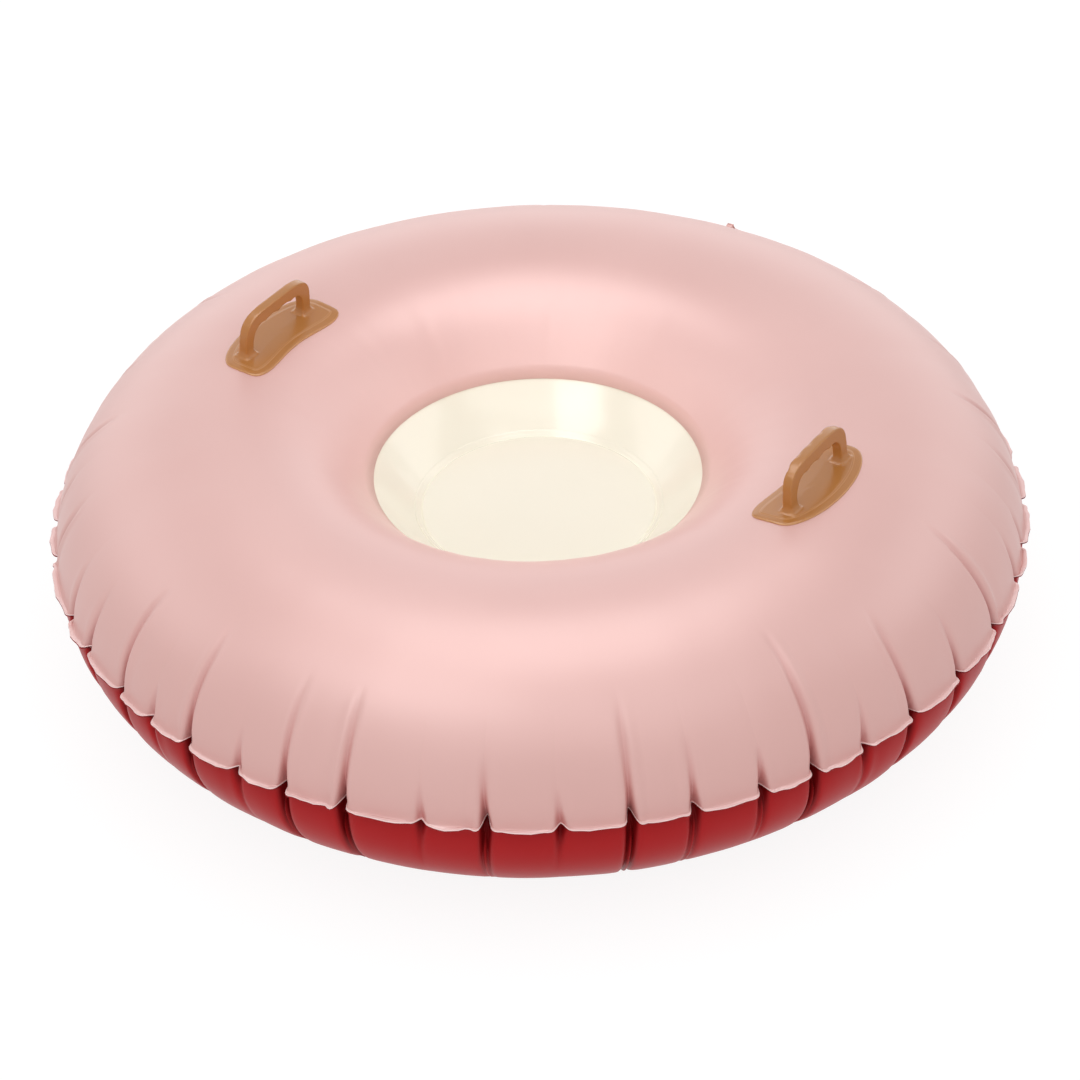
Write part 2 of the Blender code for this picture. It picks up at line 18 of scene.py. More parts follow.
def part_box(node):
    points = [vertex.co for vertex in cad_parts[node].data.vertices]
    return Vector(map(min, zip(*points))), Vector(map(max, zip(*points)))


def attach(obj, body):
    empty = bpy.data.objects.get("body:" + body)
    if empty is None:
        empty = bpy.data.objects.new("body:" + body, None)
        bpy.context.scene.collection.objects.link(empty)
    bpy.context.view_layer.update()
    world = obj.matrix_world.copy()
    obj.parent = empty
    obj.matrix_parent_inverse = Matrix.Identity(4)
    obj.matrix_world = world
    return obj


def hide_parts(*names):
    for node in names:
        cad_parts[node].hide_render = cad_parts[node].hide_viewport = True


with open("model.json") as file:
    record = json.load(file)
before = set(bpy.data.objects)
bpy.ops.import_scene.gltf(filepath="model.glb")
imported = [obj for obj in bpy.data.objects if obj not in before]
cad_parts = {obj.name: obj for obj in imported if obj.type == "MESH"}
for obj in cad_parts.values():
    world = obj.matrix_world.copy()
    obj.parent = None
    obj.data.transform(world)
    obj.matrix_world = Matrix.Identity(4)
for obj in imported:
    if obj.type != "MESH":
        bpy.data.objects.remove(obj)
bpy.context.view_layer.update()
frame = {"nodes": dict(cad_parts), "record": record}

# %% [markdown]
# # Sizes that come from the frame
# A dressed piece must sit where its CAD node sits, so the driving sizes are read from the
# frame's boxes and mounts. Only what the frame can't say, such as the film's thickness or the
# shape of a seam, is a named value of its own.

# %% Sizes from the frame
mounts = {mount["name"]: Vector(mount["pos_m"]) for mount in frame["record"]["mounts"]}
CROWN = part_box("top_skin")[1].z
RIM_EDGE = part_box("top_skin")[1].x
RING_RADIUS = mounts["resting_face"].x
FLOOR_LEVEL = mounts["seat_floor"].z

MILLIMETRE = 0.001
FILM = 0.0008
GAP = 0.0003
WELD_MARGIN = 0.006
RIM_RADIUS = RIM_EDGE - WELD_MARGIN
OUTER_HALF_WIDTH = RIM_RADIUS - RING_RADIUS
HALF_HEIGHT = 0.123
MIDDLE = CROWN - HALF_HEIGHT
RIM_LEVEL = MIDDLE + 0.010
LAYER = FILM + GAP
print("ring radius", round(RING_RADIUS, 4), "crown", round(CROWN, 4))

# %% [markdown]
# # The camera first
# The photograph looks down on the tube by about 37 degrees with a long lens. The camera is
# placed by angles and a distance, and aimed at a point a little under the middle of the ring.
# A slight roll tips the tube's right side up, as in the picture.

# %% The camera
CAMERA_AZIMUTH = math.radians(28.5)
CAMERA_ELEVATION = math.radians(37.285)
CAMERA_DISTANCE = 3.1574
CAMERA_AIM = Vector((0, 0, 0.0906))
CAMERA_LENS = 110.87
CAMERA_SENSOR = 36
CAMERA_ROLL = math.radians(-1.725)


def add_object(name, data):
    made = bpy.data.objects.new(name, data)
    bpy.context.collection.objects.link(made)
    return made


camera = add_object("camera", bpy.data.cameras.new("camera"))
camera.data.lens = CAMERA_LENS
camera.data.sensor_width = CAMERA_SENSOR
backwards = Vector((
    math.sin(CAMERA_AZIMUTH) * math.cos(CAMERA_ELEVATION),
    -math.cos(CAMERA_AZIMUTH) * math.cos(CAMERA_ELEVATION),
    math.sin(CAMERA_ELEVATION),
))
camera.matrix_world = (
    Matrix.Translation(CAMERA_AIM + backwards * CAMERA_DISTANCE)
    @ backwards.to_track_quat("Z", "Y").to_matrix().to_4x4()
    @ Matrix.Rotation(CAMERA_ROLL, 4, "Z")
)
bpy.context.scene.camera = camera
print("camera at", [round(c, 3) for c in camera.matrix_world.translation])

# %% [markdown]
# # The ring's cross-section
# The ring is a pillow of air: its outer flank is half an ellipse, and on the inside the pink
# film runs level over the crown and then dives to the throat seam. The flank is an angle on
# the ellipse, and the inner slope is one cubic curve.

# %% Cross-section of the ring
SEAM_RADIUS = 0.1535
SEAM_LEVEL = CROWN - 0.074
SEAM_SLOPE = math.radians(50)
CROWN_FLAT = 0.090
SEAM_RUN = 0.055
REST_HALF = 0.020


def flank_point(turn):
    """Radius and height on the outer flank, at an angle above or below its middle."""
    radius = RING_RADIUS + OUTER_HALF_WIDTH * math.cos(turn)
    return Vector((radius, MIDDLE + HALF_HEIGHT * math.sin(turn)))


def flank_normal(turn):
    across = Vector((math.cos(turn) / OUTER_HALF_WIDTH, math.sin(turn) / HALF_HEIGHT))
    return across.normalized()


def flank_angle(level):
    return math.asin((level - MIDDLE) / HALF_HEIGHT)


INNER_CURVE = (
    Vector((RING_RADIUS, CROWN)),
    Vector((RING_RADIUS - CROWN_FLAT, CROWN)),
    Vector((SEAM_RADIUS + SEAM_RUN * math.cos(SEAM_SLOPE),
            SEAM_LEVEL + SEAM_RUN * math.sin(SEAM_SLOPE))),
    Vector((SEAM_RADIUS, SEAM_LEVEL)),
)


def inner_point(share):
    """Radius and height on the way from the crown down to the throat seam."""
    left = 1 - share
    weights = (left**3, 3 * left * left * share, 3 * left * share * share, share**3)
    return sum((p * w for p, w in zip(INNER_CURVE, weights)), Vector((0, 0)))


def inner_normal(share):
    """Direction off the film, up and towards the axis."""
    left = 1 - share
    weights = (left * left, 2 * left * share, share * share)
    steps = [after - before for before, after in zip(INNER_CURVE, INNER_CURVE[1:])]
    run = sum((step * w for step, w in zip(steps, weights)), Vector((0, 0))).normalized()
    return Vector((run.y, -run.x))


print("seam level", round(SEAM_LEVEL, 4))

# %% [markdown]
# # Where the rim gathers
# Two flat rings of film can only become a round ring if the rim gathers, so it draws in at
# some fifty puckers. Each has a direction, a depth and a climb, with shares that follow the
# CAD. Those of the near half follow the photograph. What the eye also wants is that no two
# are alike: a seeded draw gives each one a lean and a ridge on one of its sides.

# %% The puckers
NOTCH_DEPTH = 0.017
PUCKER_CLIMB = math.radians(54)
PUCKER_SHARES = [
    (1.8, 0.90, 0.95), (11.0, 0.45, 0.40), (17.5, 0.40, 0.35), (26.3, 0.60, 0.60),
    (34.1, 0.90, 0.85), (41.8, 0.40, 0.45), (49.3, 0.80, 0.75), (58.0, 0.60, 0.55),
    (65.2, 1.00, 0.90), (73.0, 0.35, 0.40), (79.6, 0.60, 0.30), (86.0, 0.35, 0.22),
    (94.2, 0.40, 0.22), (101.0, 0.80, 0.45), (109.1, 0.50, 0.55), (116.3, 0.95, 0.90),
    (124.4, 0.40, 0.40), (131.5, 0.75, 0.70), (140.2, 0.90, 0.85), (147.4, 0.45, 0.45),
    (155.6, 0.70, 0.65), (163.0, 0.35, 0.40), (170.9, 0.95, 0.95), (179.3, 0.60, 0.60),
    (187.0, 0.80, 0.70), (194.8, 0.35, 0.40), (202.1, 0.85, 0.85), (209.4, 0.50, 0.50),
    (216.3, 0.70, 0.60), (228.0, 0.50, 0.50), (234.2, 0.60, 0.55), (242.9, 1.00, 0.85),
    (248.9, 0.25, 0.30), (255.1, 0.90, 0.90), (262.5, 0.30, 0.35), (268.6, 0.80, 0.80),
    (275.8, 1.00, 0.80), (284.8, 0.25, 0.30), (291.8, 0.80, 0.50), (299.8, 0.30, 0.30),
    (307.4, 0.85, 0.85), (314.4, 0.60, 0.55), (322.3, 0.60, 0.35), (328.8, 1.00, 1.00),
    (335.7, 0.35, 0.40), (343.4, 0.95, 0.80), (352.2, 0.65, 0.50),
]
MOST_LEAN = 0.6
RIDGE_SHARES = (0.25, 0.55)
SEED = 11

draw = random.Random(SEED)
puckers = []
for degrees, depth, climb in PUCKER_SHARES:
    puckers.append({
        "angle": math.radians(degrees),
        "depth": depth,
        "climb": PUCKER_CLIMB * climb,
        "lean": math.radians(draw.uniform(-MOST_LEAN, MOST_LEAN)),
        "side": draw.choice((-1, 1)),
        "ridge": draw.uniform(*RIDGE_SHARES),
    })
print(len(puckers), "puckers")

# %% [markdown]
# # Columns of film
# A crease is sharp, and the film between two creases is nearly flat. So the columns of the
# mesh crowd together at each valley and spread out in between. The places are shares of half
# the way to the next valley.

# %% Columns of film
HALF_GAP_SHARES = (0, 0.02, 0.045, 0.075, 0.11, 0.15, 0.20, 0.26, 0.34, 0.45, 0.60, 0.79)


def film_columns():
    """Direction of each column, its gap, and its share of the way over that gap."""
    columns = []
    for index, pucker in enumerate(puckers):
        after = puckers[(index + 1) % len(puckers)]
        span = (after["angle"] - pucker["angle"]) % math.tau
        shares = [share / 2 for share in HALF_GAP_SHARES] + [0.5]
        shares += [1 - share / 2 for share in reversed(HALF_GAP_SHARES[1:])]
        columns += [(pucker["angle"] + span * share, index, share) for share in shares]
    return columns


columns = film_columns()
print(len(columns), "columns")

# %% [markdown]
# # The shape of one pucker
# At the weld a pucker is a narrow notch with round shoulders. Above it the film closes to a
# soft crease with a low ridge beside it, and the crease gets wider and shallower until it is
# lost in the flank. Below the rim the crease of a deep pucker splits in two, with a small
# ridge between its branches.

# %% The shape of a pucker
SLIT_WIDTH = 0.0034
SHALLOW_SLIT_WIDTH = 0.0052
SLIT_POWER = 3.0
MOUTH_SHARE = 0.22
MOUTH_WIDTH = 0.0068
NOTCH_WAIST = 0.55
NOTCH_CLIMB = math.radians(6.5)
NOTCH_FADE = 1.3
CREASE_DEPTH = 0.0054
CREASE_WIDTH = 0.0028
CREASE_END_WIDTH = 0.0044
CREASE_FADE = 0.8
RIDGE_OFFSET = 0.0072
RIDGE_WIDTH = 0.0040
PUCKER_REACH = 0.030
SPLIT_SHARE = 0.6
SPLIT_WIDTH = 0.0042
SPLIT_RIDGE_WIDTH = 0.0014
SPLIT_RIDGE = 0.85
UNDER_DEPTH = 0.0085
UNDER_CLIMB = 1.7
LOBE_RISE = 0.0009
LOBE_CLIMB = math.radians(13)
LOBE_FADE = 1.2
LOBE_POWER = 0.7
PILLOW_RISE = 0.0009


def bump(along, width, power=2.0):
    """1 at the middle, and about a third at a width from it."""
    return math.exp(-((abs(along) / width) ** power))


def crease_shape(along, width, pucker):
    """Valley of the crease, with a ridge beside it and a faint valley after that."""
    beside = along * pucker["side"]
    ridge = pucker["ridge"]
    shape = bump(along, width) - ridge * bump(beside - RIDGE_OFFSET, RIDGE_WIDTH)
    shape -= ridge / 3 * bump(beside + RIDGE_OFFSET, RIDGE_WIDTH)
    return shape + ridge / 2 * bump(beside - 2 * RIDGE_OFFSET, RIDGE_WIDTH)


def notch_shape(along, width):
    """A slit with upright walls, whose mouth is flared."""
    mouth = MOUTH_SHARE * bump(along, MOUTH_WIDTH)
    return (1 - MOUTH_SHARE) * bump(along, width, SLIT_POWER) + mouth


def pucker_shift(pucker, along, climb):
    """How far one pucker draws the film in, at a distance along the rim and a climb."""
    reach = pucker["climb"] * (1 if climb >= 0 else UNDER_CLIMB)
    left = 1 - abs(climb) / reach
    if left <= 0 or abs(along) > PUCKER_REACH:
        return 0.0
    share = pucker["depth"]
    notch = bump(climb, NOTCH_CLIMB, NOTCH_FADE)
    width = SLIT_WIDTH + (SHALLOW_SLIT_WIDTH - SLIT_WIDTH) * (1 - share)
    if climb < 0 and share >= SPLIT_SHARE:
        slit = notch_shape(along, width + (SPLIT_WIDTH - width) * (1 - notch))
        ridge = SPLIT_RIDGE * (1 - notch) * bump(along, SPLIT_RIDGE_WIDTH)
        depth = NOTCH_DEPTH * notch + UNDER_DEPTH * (1 - notch) * left**CREASE_FADE
        return depth * share * (slit - ridge)
    width *= NOTCH_WAIST + (1 - NOTCH_WAIST) * notch
    cut = NOTCH_DEPTH * share * notch * notch_shape(along, width)
    width = CREASE_END_WIDTH + (CREASE_WIDTH - CREASE_END_WIDTH) * left
    crease = crease_shape(along, width, pucker)
    return cut + CREASE_DEPTH * share * left**CREASE_FADE * crease


def film_shift(column, climb):
    """Total draw of the film at a column, less the swell of the lobe it lies on."""
    angle, index, share = columns[column]
    shift = 0.0
    for step in (-1, 0, 1, 2):
        pucker = puckers[(index + step) % len(puckers)]
        away = (angle - pucker["angle"] + math.pi) % math.tau - math.pi
        shift += pucker_shift(pucker, away * RIM_RADIUS, climb)
    bow = math.sin(math.pi * share) ** LOBE_POWER
    near = bump(climb, LOBE_CLIMB, LOBE_FADE)
    high = max(0.0, 1 - abs(climb) / PUCKER_CLIMB)
    return shift - bow * (LOBE_RISE * near + PILLOW_RISE * high)


def column_lean(column, climb):
    """Extra turn of a column, which bends its crease to one side as it climbs."""
    _, index, share = columns[column]
    after = puckers[(index + 1) % len(puckers)]
    lean = puckers[index]["lean"] * (1 - share) + after["lean"] * share
    return lean * math.sin(min(abs(climb) / PUCKER_CLIMB, 1) * math.pi)


print("deepest pucker, mm:", round(max(p["depth"] for p in puckers) * NOTCH_DEPTH * 1000, 1))

# %% [markdown]
# # Small wrinkles
# Vinyl that has been folded never lies quite smooth. A slow wave along the flank and a finer
# one near the weld are taken from Blender's noise, which is the same on every run. Round the
# throat the film is gathered to a smaller circle, so it shows fine rays.

# %% Small wrinkles
WAVE_RISE = 0.0009
WAVE_PITCH = 0.055
CRINKLE_RISE = 0.0005
CRINKLE_PITCH = 0.013
CRINKLE_CLIMB = math.radians(30)
CRINKLE_START = Vector((7, 3, 5))
LONG_PITCH = 4.0
RAY_RISE = 0.00045
RAY_PITCH = 0.016
RAY_RADIUS = 0.200
RAY_SPAN = 0.050


def at_flank(climb):
    """1 at the rim, and less and less towards the crown or the ground."""
    return max(0.0, math.cos(climb)) ** 0.5


def wrinkle(point, climb):
    """Small rise of the film over its smooth shape."""
    radius = math.hypot(point.x, point.y)
    way = Vector((point.x, point.y, 0)) / max(radius, GAP)
    flat = way * RIM_RADIUS
    flat.z = climb * HALF_HEIGHT / LONG_PITCH
    rise = WAVE_RISE * at_flank(climb) * noise.noise(flat / WAVE_PITCH)
    near = max(0.0, 1 - abs(climb) / CRINKLE_CLIMB)
    rise += CRINKLE_RISE * near * noise.noise(flat / CRINKLE_PITCH + CRINKLE_START)
    inside = max(0.0, 1 - ((radius - RAY_RADIUS) / RAY_SPAN) ** 2)
    if inside > 0 and climb > 0:
        rays = way * RAY_RADIUS / RAY_PITCH
        rays.z = radius / RAY_PITCH / LONG_PITCH
        rise += RAY_RISE * inside * noise.noise(rays)
    return rise


print("rise at one point, mm:", round(wrinkle(Vector((RIM_RADIUS, 0, 0)), 0) * 1000, 2))

# %% [markdown]
# # Turning a cross-section into a film
# A film is a line of points spun round the axis, with as many steps as there are columns. The
# columns are then moved to their true directions, and every point is drawn in by its puckers.
# Each ring of points carries its own normal and climb, so one function serves the pink film
# and the red one.

# %% Spinning a line of points
MERGE = 1e-6


def spun(points, steps):
    """Spin a line of radius and height points about z, and number its rings."""
    bm = bmesh.new()
    ring = bm.verts.layers.int.new("ring")
    verts = [bm.verts.new((point[0], 0, point[1])) for point in points]
    for index, vert in enumerate(verts):
        vert[ring] = index
    edges = [bm.edges.new(pair) for pair in zip(verts, verts[1:])]
    bmesh.ops.spin(
        bm, geom=verts + edges, cent=(0, 0, 0), axis=(0, 0, 1),
        angle=math.tau, steps=steps, use_merge=True,
    )
    bmesh.ops.remove_doubles(bm, verts=bm.verts, dist=MERGE)
    return bm


def off_the_core(point):
    """Direction from the middle of the ring's air to a point."""
    outwards = Vector((point.x, point.y, 0)).normalized()
    return point - outwards * RING_RADIUS - Vector((0, 0, MIDDLE))


def faced(bm, aim):
    """Turn an open film's faces so that they look the way that a function gives."""
    bmesh.ops.recalc_face_normals(bm, faces=bm.faces)
    bm.normal_update()
    votes = sum(face.normal.dot(aim(face.calc_center_median())) for face in bm.faces)
    if votes < 0:
        bmesh.ops.reverse_faces(bm, faces=bm.faces)
    print("faces turned" if votes < 0 else "faces kept")
    return bm


print("points closer than", MERGE, "are merged")

# %% [markdown]
# # The welded lip
# Outside the weld's inner line the two films run on together as a thin flat lip. It stands
# out, flutters a little, and is widest in the middle of each lobe, because it folds away at
# the puckers. A small fillet leads from the lip to the flank. The rim isn't quite round: in
# the photograph the near half and the sides reach a little less far out than the far side,
# where the valve sits.

# %% Rings of a film
LIP_SHARES = (1.0, 0.93, 0.65, 0.36)
LIP_TILT = math.radians(2)
LIP_PITCH = 0.024
LIP_FLUTTER = 0.0020
LIP_RAG = 0.30
LIP_RAG_PITCH = 0.010
LIP_NARROW = 0.45
FILLET = 0.0016
FILLET_HEIGHT = 0.0040
# Painted shade: the film's colour is deepened in the creases and a little beside the weld.
PAINTED_SHADE_DEPTH = 0.0050
WELD_PAINTED_SHADE = 0.30
WELD_PAINTED_SHADE_CLIMB = math.radians(7)
# Painted light: the pink film is painted paler towards the seat, against the shade in the throat.
SEAT_PAINTED_LIGHT_RADIUS = 0.250
ABOVE_GROUND = 0.0001
DRAW_IN = 0.0045
FAR_SIDE = CAMERA_AZIMUTH + math.pi / 2
FAR_COSINE = 0.8
FADE_COSINE = 0.6


def clamped(value):
    return min(1.0, max(0.0, value))


def drawn_in(angle, climb):
    """How much less far out the film lies on the near half, which isn't quite round."""
    near = clamped((FAR_COSINE - math.cos(angle - FAR_SIDE)) / FADE_COSINE)
    return DRAW_IN * near * near * (3 - 2 * near) * at_flank(climb)


class Ring:
    """One ring of points of a film: its place, the way off the film, and its climb."""

    def __init__(self, point, normal, climb, lip=0.0):
        self.point = point
        self.normal = normal
        self.climb = climb
        self.lip = lip


def rim_rings(start, end, count, crowd):
    """Rings from the lip's cut edge, over the weld, to an angle of the flank."""
    weld = flank_point(start)
    rings = [Ring(weld, Vector((1, 0)), 0, share) for share in LIP_SHARES]
    for index in range(count + 1):
        climb = start + (index / count) ** crowd * (end - start)
        point = flank_point(climb)
        height = abs(point.y - weld.y)
        point.x += FILLET * max(0.0, 1 - height / FILLET_HEIGHT) ** 2
        rings.append(Ring(point, flank_normal(climb), climb - start))
    return rings


def shaped_film(rings):
    """Film spun from rings, with its puckers, small wrinkles and wavy lip."""
    bm = spun([ring.point + Vector((ring.lip, 0)) for ring in rings], len(columns))
    layer = bm.verts.layers.int["ring"]
    lip, painted_shade, seat_painted_light = (bm.verts.layers.float.new(key) for key in ("lip", "painted_shade", "seat_painted_light"))
    for vert in bm.verts:
        ring = rings[vert[layer]]
        vert[lip] = ring.lip
        column = round(math.atan2(vert.co.y, vert.co.x) / math.tau * len(columns))
        column %= len(columns)
        angle = columns[column][0] + column_lean(column, ring.climb)
        outwards = Vector((math.cos(angle), math.sin(angle), 0))
        radius = ring.point.x - drawn_in(angle, ring.climb)
        place = outwards * radius + Vector((0, 0, ring.point.y))
        off = outwards * ring.normal.x + Vector((0, 0, ring.normal.y))
        shift = film_shift(column, ring.climb)
        rise = wrinkle(place, ring.climb) - shift
        # Painted shade: the colour deepens in the creases and a little beside the weld.
        weld_shade = WELD_PAINTED_SHADE * bump(ring.climb, WELD_PAINTED_SHADE_CLIMB, 1)
        vert[painted_shade] = clamped(max(0.0, shift) / PAINTED_SHADE_DEPTH + weld_shade)
        # Painted light: the film is painted paler towards the seat.
        near_seat = (SEAT_PAINTED_LIGHT_RADIUS - ring.point.x) / (SEAT_PAINTED_LIGHT_RADIUS - SEAM_RADIUS)
        vert[seat_painted_light] = clamped(near_seat) * (ring.climb > 0)
        if ring.lip:
            bow = math.sin(math.pi * columns[column][2]) ** LOBE_POWER
            reach = WELD_MARGIN * ring.lip * (LIP_NARROW + (1 - LIP_NARROW) * bow)
            flutter = noise.noise(outwards * RIM_RADIUS / LIP_PITCH)
            reach *= 1 + LIP_RAG * noise.noise(outwards * RIM_RADIUS / LIP_RAG_PITCH)
            place += outwards * reach * math.cos(LIP_TILT)
            place.z += reach * math.sin(LIP_TILT) + LIP_FLUTTER * ring.lip * flutter
        vert.co = place + off * rise
        vert.co.z = max(vert.co.z, ABOVE_GROUND)
    return faced(bm, off_the_core)


print("near side in by, mm:", round(drawn_in(FAR_SIDE + math.pi, 0) * 1000, 1))

# %% [markdown]
# # From bmesh to object
# Every piece ends the same way: its mesh is named, shaded smooth, given a material, and rides
# on a body of the frame. Film gets its thickness from Solidify, inwards from the face that
# shows, which also gives the lip its cut edge.

# %% Finishing a piece
def mesh_of(name, bm):
    """Mesh with the shape of a bmesh, which is then freed."""
    mesh = bpy.data.meshes.new(name)
    bm.to_mesh(mesh)
    bm.free()
    return mesh


def finish_piece(name, bm, material, body, replaced, thickness=0.0, smooth=40):
    """Make an object of a bmesh and hand it to the frame."""
    mesh = mesh_of(name, bm)
    mesh.shade_smooth()
    mesh.set_sharp_from_angle(angle=math.radians(smooth))
    mesh.materials.append(material)
    obj = add_object(name, mesh)
    if thickness:
        solid = obj.modifiers.new("film", "SOLIDIFY")
        solid.thickness = thickness
        solid.offset = -1
        solid.use_even_offset = False
    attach(obj, body)
    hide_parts(*replaced)
    print(name, len(mesh.polygons), "faces")


print("film, mm:", round(FILM * 1000, 2))

# %% [markdown]
# # Materials: shared effects
# Soft vinyl has two things at once: a slow drift of tone, because the film isn't equally
# thick or equally stretched, and a very fine grain that softens the gloss. Both are in one
# node group, placed in each film's material with its own scale.

# %% A group for soft vinyl
NODE_STEP = 180


def fed(node, feeds):
    """Give a node's inputs a number, a colour or a link from another socket."""
    for key, value in feeds.items():
        if isinstance(value, bpy.types.NodeSocket):
            node.id_data.links.new(value, node.inputs[key])
        else:
            node.inputs[key].default_value = (*value, 1) if isinstance(value, tuple) else value


def add_node(tree, kind, feeds=None, **settings):
    """A node at the end of the row, with its settings and what feeds its inputs."""
    made = tree.nodes.new(kind)
    made.location = (NODE_STEP * len(tree.nodes), 0)
    for key, value in settings.items():
        setattr(made, key, value)
    fed(made, feeds or {})
    return made


def vinyl_group():
    """Tone and grain of a film: Drift is 0 to 1 and slow, Grain is 0 to 1 and fine."""
    group = bpy.data.node_groups.new("soft_vinyl", "ShaderNodeTree")
    for way, ending in (("INPUT", " Scale"), ("OUTPUT", "")):
        for name in ("Drift", "Grain"):
            group.interface.new_socket(name + ending, in_out=way, socket_type="NodeSocketFloat")
    entry = add_node(group, "NodeGroupInput")
    leave = add_node(group, "NodeGroupOutput")
    place = add_node(group, "ShaderNodeTexCoord")
    for name, detail in (("Drift", 3), ("Grain", 2)):
        noisy = add_node(group, "ShaderNodeTexNoise", {
            "Vector": place.outputs["Object"], "Scale": entry.outputs[name + " Scale"],
            "Detail": detail,
        })
        fed(leave, {name: noisy.outputs["Fac"]})
    return group


soft_vinyl = vinyl_group()
print("group", soft_vinyl.name)

# %% [markdown]
# # Materials: a film of one colour
# A film's colour drifts between two close tones, and its roughness drifts with it. On the
# lip, where two films are welded, it turns paler, partly by the weld's own tone and partly
# by painted highlight, and its nearly white cut edge is a painted highlight. In the creases,
# and a little beside the weld, the colour is painted deeper: this is painted shade. Towards
# the seat the film is painted paler: this is painted light against the shade in the throat.
# These places are attributes that the mesh carries.

# %% Film material
MIDDLE_OF_NOISE = (0.3, 0.7)
DRIFT_SCALE = 5.5
# Spans of the lip's mark: a paler lip, partly the weld's own tone and partly painted highlight,
# and a painted highlight on its cut edge.
LIP_PALE_AND_HIGHLIGHT_SPAN = (0.25, 0.60)
LIP_EDGE_HIGHLIGHT_SPAN = (0.90, 0.99)


def mixed_colour(tree, factor, first, last):
    """Mix of two colours; each is a tuple or a socket."""
    feeds = {"Factor": factor, 6: first, 7: last}
    return add_node(tree, "ShaderNodeMix", feeds, data_type="RGBA").outputs[2]


def ranged(tree, value, spread, result):
    """A value moved from one range to another, held at its ends."""
    return add_node(tree, "ShaderNodeMapRange", {
        "Value": value, "From Min": spread[0], "From Max": spread[1],
        "To Min": result[0], "To Max": result[1],
    }).outputs["Result"]


def worked_out(tree, operation, *values):
    """Result of a Math node on numbers or sockets."""
    feeds = dict(enumerate(values))
    return add_node(tree, "ShaderNodeMath", feeds, operation=operation).outputs[0]


def stored(tree, name):
    """A measure that the mesh carries at each of its points."""
    return add_node(tree, "ShaderNodeAttribute", attribute_name=name).outputs["Fac"]


def film_material(
    name, tones, roughness, seat_painted_light=None, painted_shade=None, lip=None, grain=900, bump=0.02, shine=0.5
):
    """Satin film: two tones, a range of roughness, and perhaps tones for parts of it."""
    material = bpy.data.materials.new(name)
    material.use_nodes = True
    tree = material.node_tree
    scales = {"Drift Scale": DRIFT_SCALE, "Grain Scale": grain}
    vinyl = add_node(tree, "ShaderNodeGroup", scales, node_tree=soft_vinyl).outputs
    drift = ranged(tree, vinyl["Drift"], MIDDLE_OF_NOISE, (0, 1))
    colour = mixed_colour(tree, drift, *tones)
    # Painted light towards the seat and painted shade in the creases go into the colour here.
    for part, tone in (("seat_painted_light", seat_painted_light), ("painted_shade", painted_shade)):
        if tone:
            colour = mixed_colour(tree, stored(tree, part), colour, tone)
    # The lip is painted paler, partly by its own tone and partly by painted highlight, and its cut
    # edge gets a painted highlight.
    if lip:
        mark = stored(tree, "lip")
        for spread, tone in zip((LIP_PALE_AND_HIGHLIGHT_SPAN, LIP_EDGE_HIGHLIGHT_SPAN), lip):
            mask = ranged(tree, mark, spread, (0, 1))
            colour = mixed_colour(tree, mask, colour, tone)
    relief = {"Strength": bump, "Distance": MILLIMETRE, "Height": vinyl["Grain"]}
    fed(tree.nodes["Principled BSDF"], {
        "Base Color": colour,
        "Roughness": ranged(tree, drift, (0, 1), roughness),
        "Normal": add_node(tree, "ShaderNodeBump", relief).outputs["Normal"],
        "Specular IOR Level": shine,
    })
    return material


# Pink film: its crease tone is painted shade, its seat tone painted light, and its lip tones
# partly painted highlight.
pink_vinyl = film_material(
    "pink_vinyl", ((0.690, 0.394, 0.362), (0.712, 0.414, 0.382)), (0.36, 0.42),
    seat_painted_light=(0.860, 0.540, 0.505), painted_shade=(0.560, 0.230, 0.215),
    lip=((0.840, 0.570, 0.550), (0.93, 0.70, 0.68)), shine=0.75,
)
# Red film: its darker crease tone is painted shade.
red_vinyl = film_material(
    "red_vinyl", ((0.405, 0.014, 0.016), (0.435, 0.017, 0.019)), (0.30, 0.38),
    painted_shade=(0.140, 0.003, 0.004), shine=0.06,
)
cream_vinyl = film_material(
    "cream_vinyl", ((0.980, 0.935, 0.790), (0.985, 0.945, 0.805)), (0.13, 0.17), bump=0.01,
)
print("film materials:", pink_vinyl.name, red_vinyl.name, cream_vinyl.name)

# %% [markdown]
# # The pink film
# The upper film starts as the lip, stands up the flank, runs over the crown and dives to the
# throat seam. Its rings crowd near the weld, where the creases are sharp. It has a hole for
# the valve's stem, which the valve's flange covers. Before the hole is cut, the film is kept
# as a target for rays, so that the handles and the flange can be laid on it.

# %% The pink film
FLANK_RINGS = 25
FLANK_CROWD = 1.8
INNER_RINGS = 11
VALVE_CLIMB = math.radians(30)
HOLE_RADIUS = 0.012


def frame_on(point, normal, direction):
    """Frame on the film: z along the normal, x in the plane of the cross-section."""
    turn = Matrix.Rotation(direction, 4, "Z")
    tilt = Matrix.Rotation(math.atan2(normal.x, normal.y), 4, "Y")
    return turn @ Matrix.Translation((point.x, 0, point.y)) @ tilt


def top_rings():
    start = flank_angle(RIM_LEVEL + GAP / 2 + FILM)
    rings = rim_rings(start, math.pi / 2, FLANK_RINGS, FLANK_CROWD)
    for index in range(1, INNER_RINGS + 1):
        share = index / INNER_RINGS
        rings.append(Ring(inner_point(share), inner_normal(share), math.pi / 2))
    return rings


valve_place = frame_on(flank_point(VALVE_CLIMB), flank_normal(VALVE_CLIMB), math.pi / 2)
pink_bm = shaped_film(top_rings())
film_target = BVHTree.FromBMesh(pink_bm)
stem_faces = []
for face in pink_bm.faces:
    if (face.calc_center_median() - valve_place.translation).length < HOLE_RADIUS:
        stem_faces.append(face)
bmesh.ops.delete(pink_bm, geom=stem_faces, context="FACES")
finish_piece(
    "pink_film", pink_bm, pink_vinyl, "tube",
    replaced=["top_skin"], thickness=FILM, smooth=75,
)

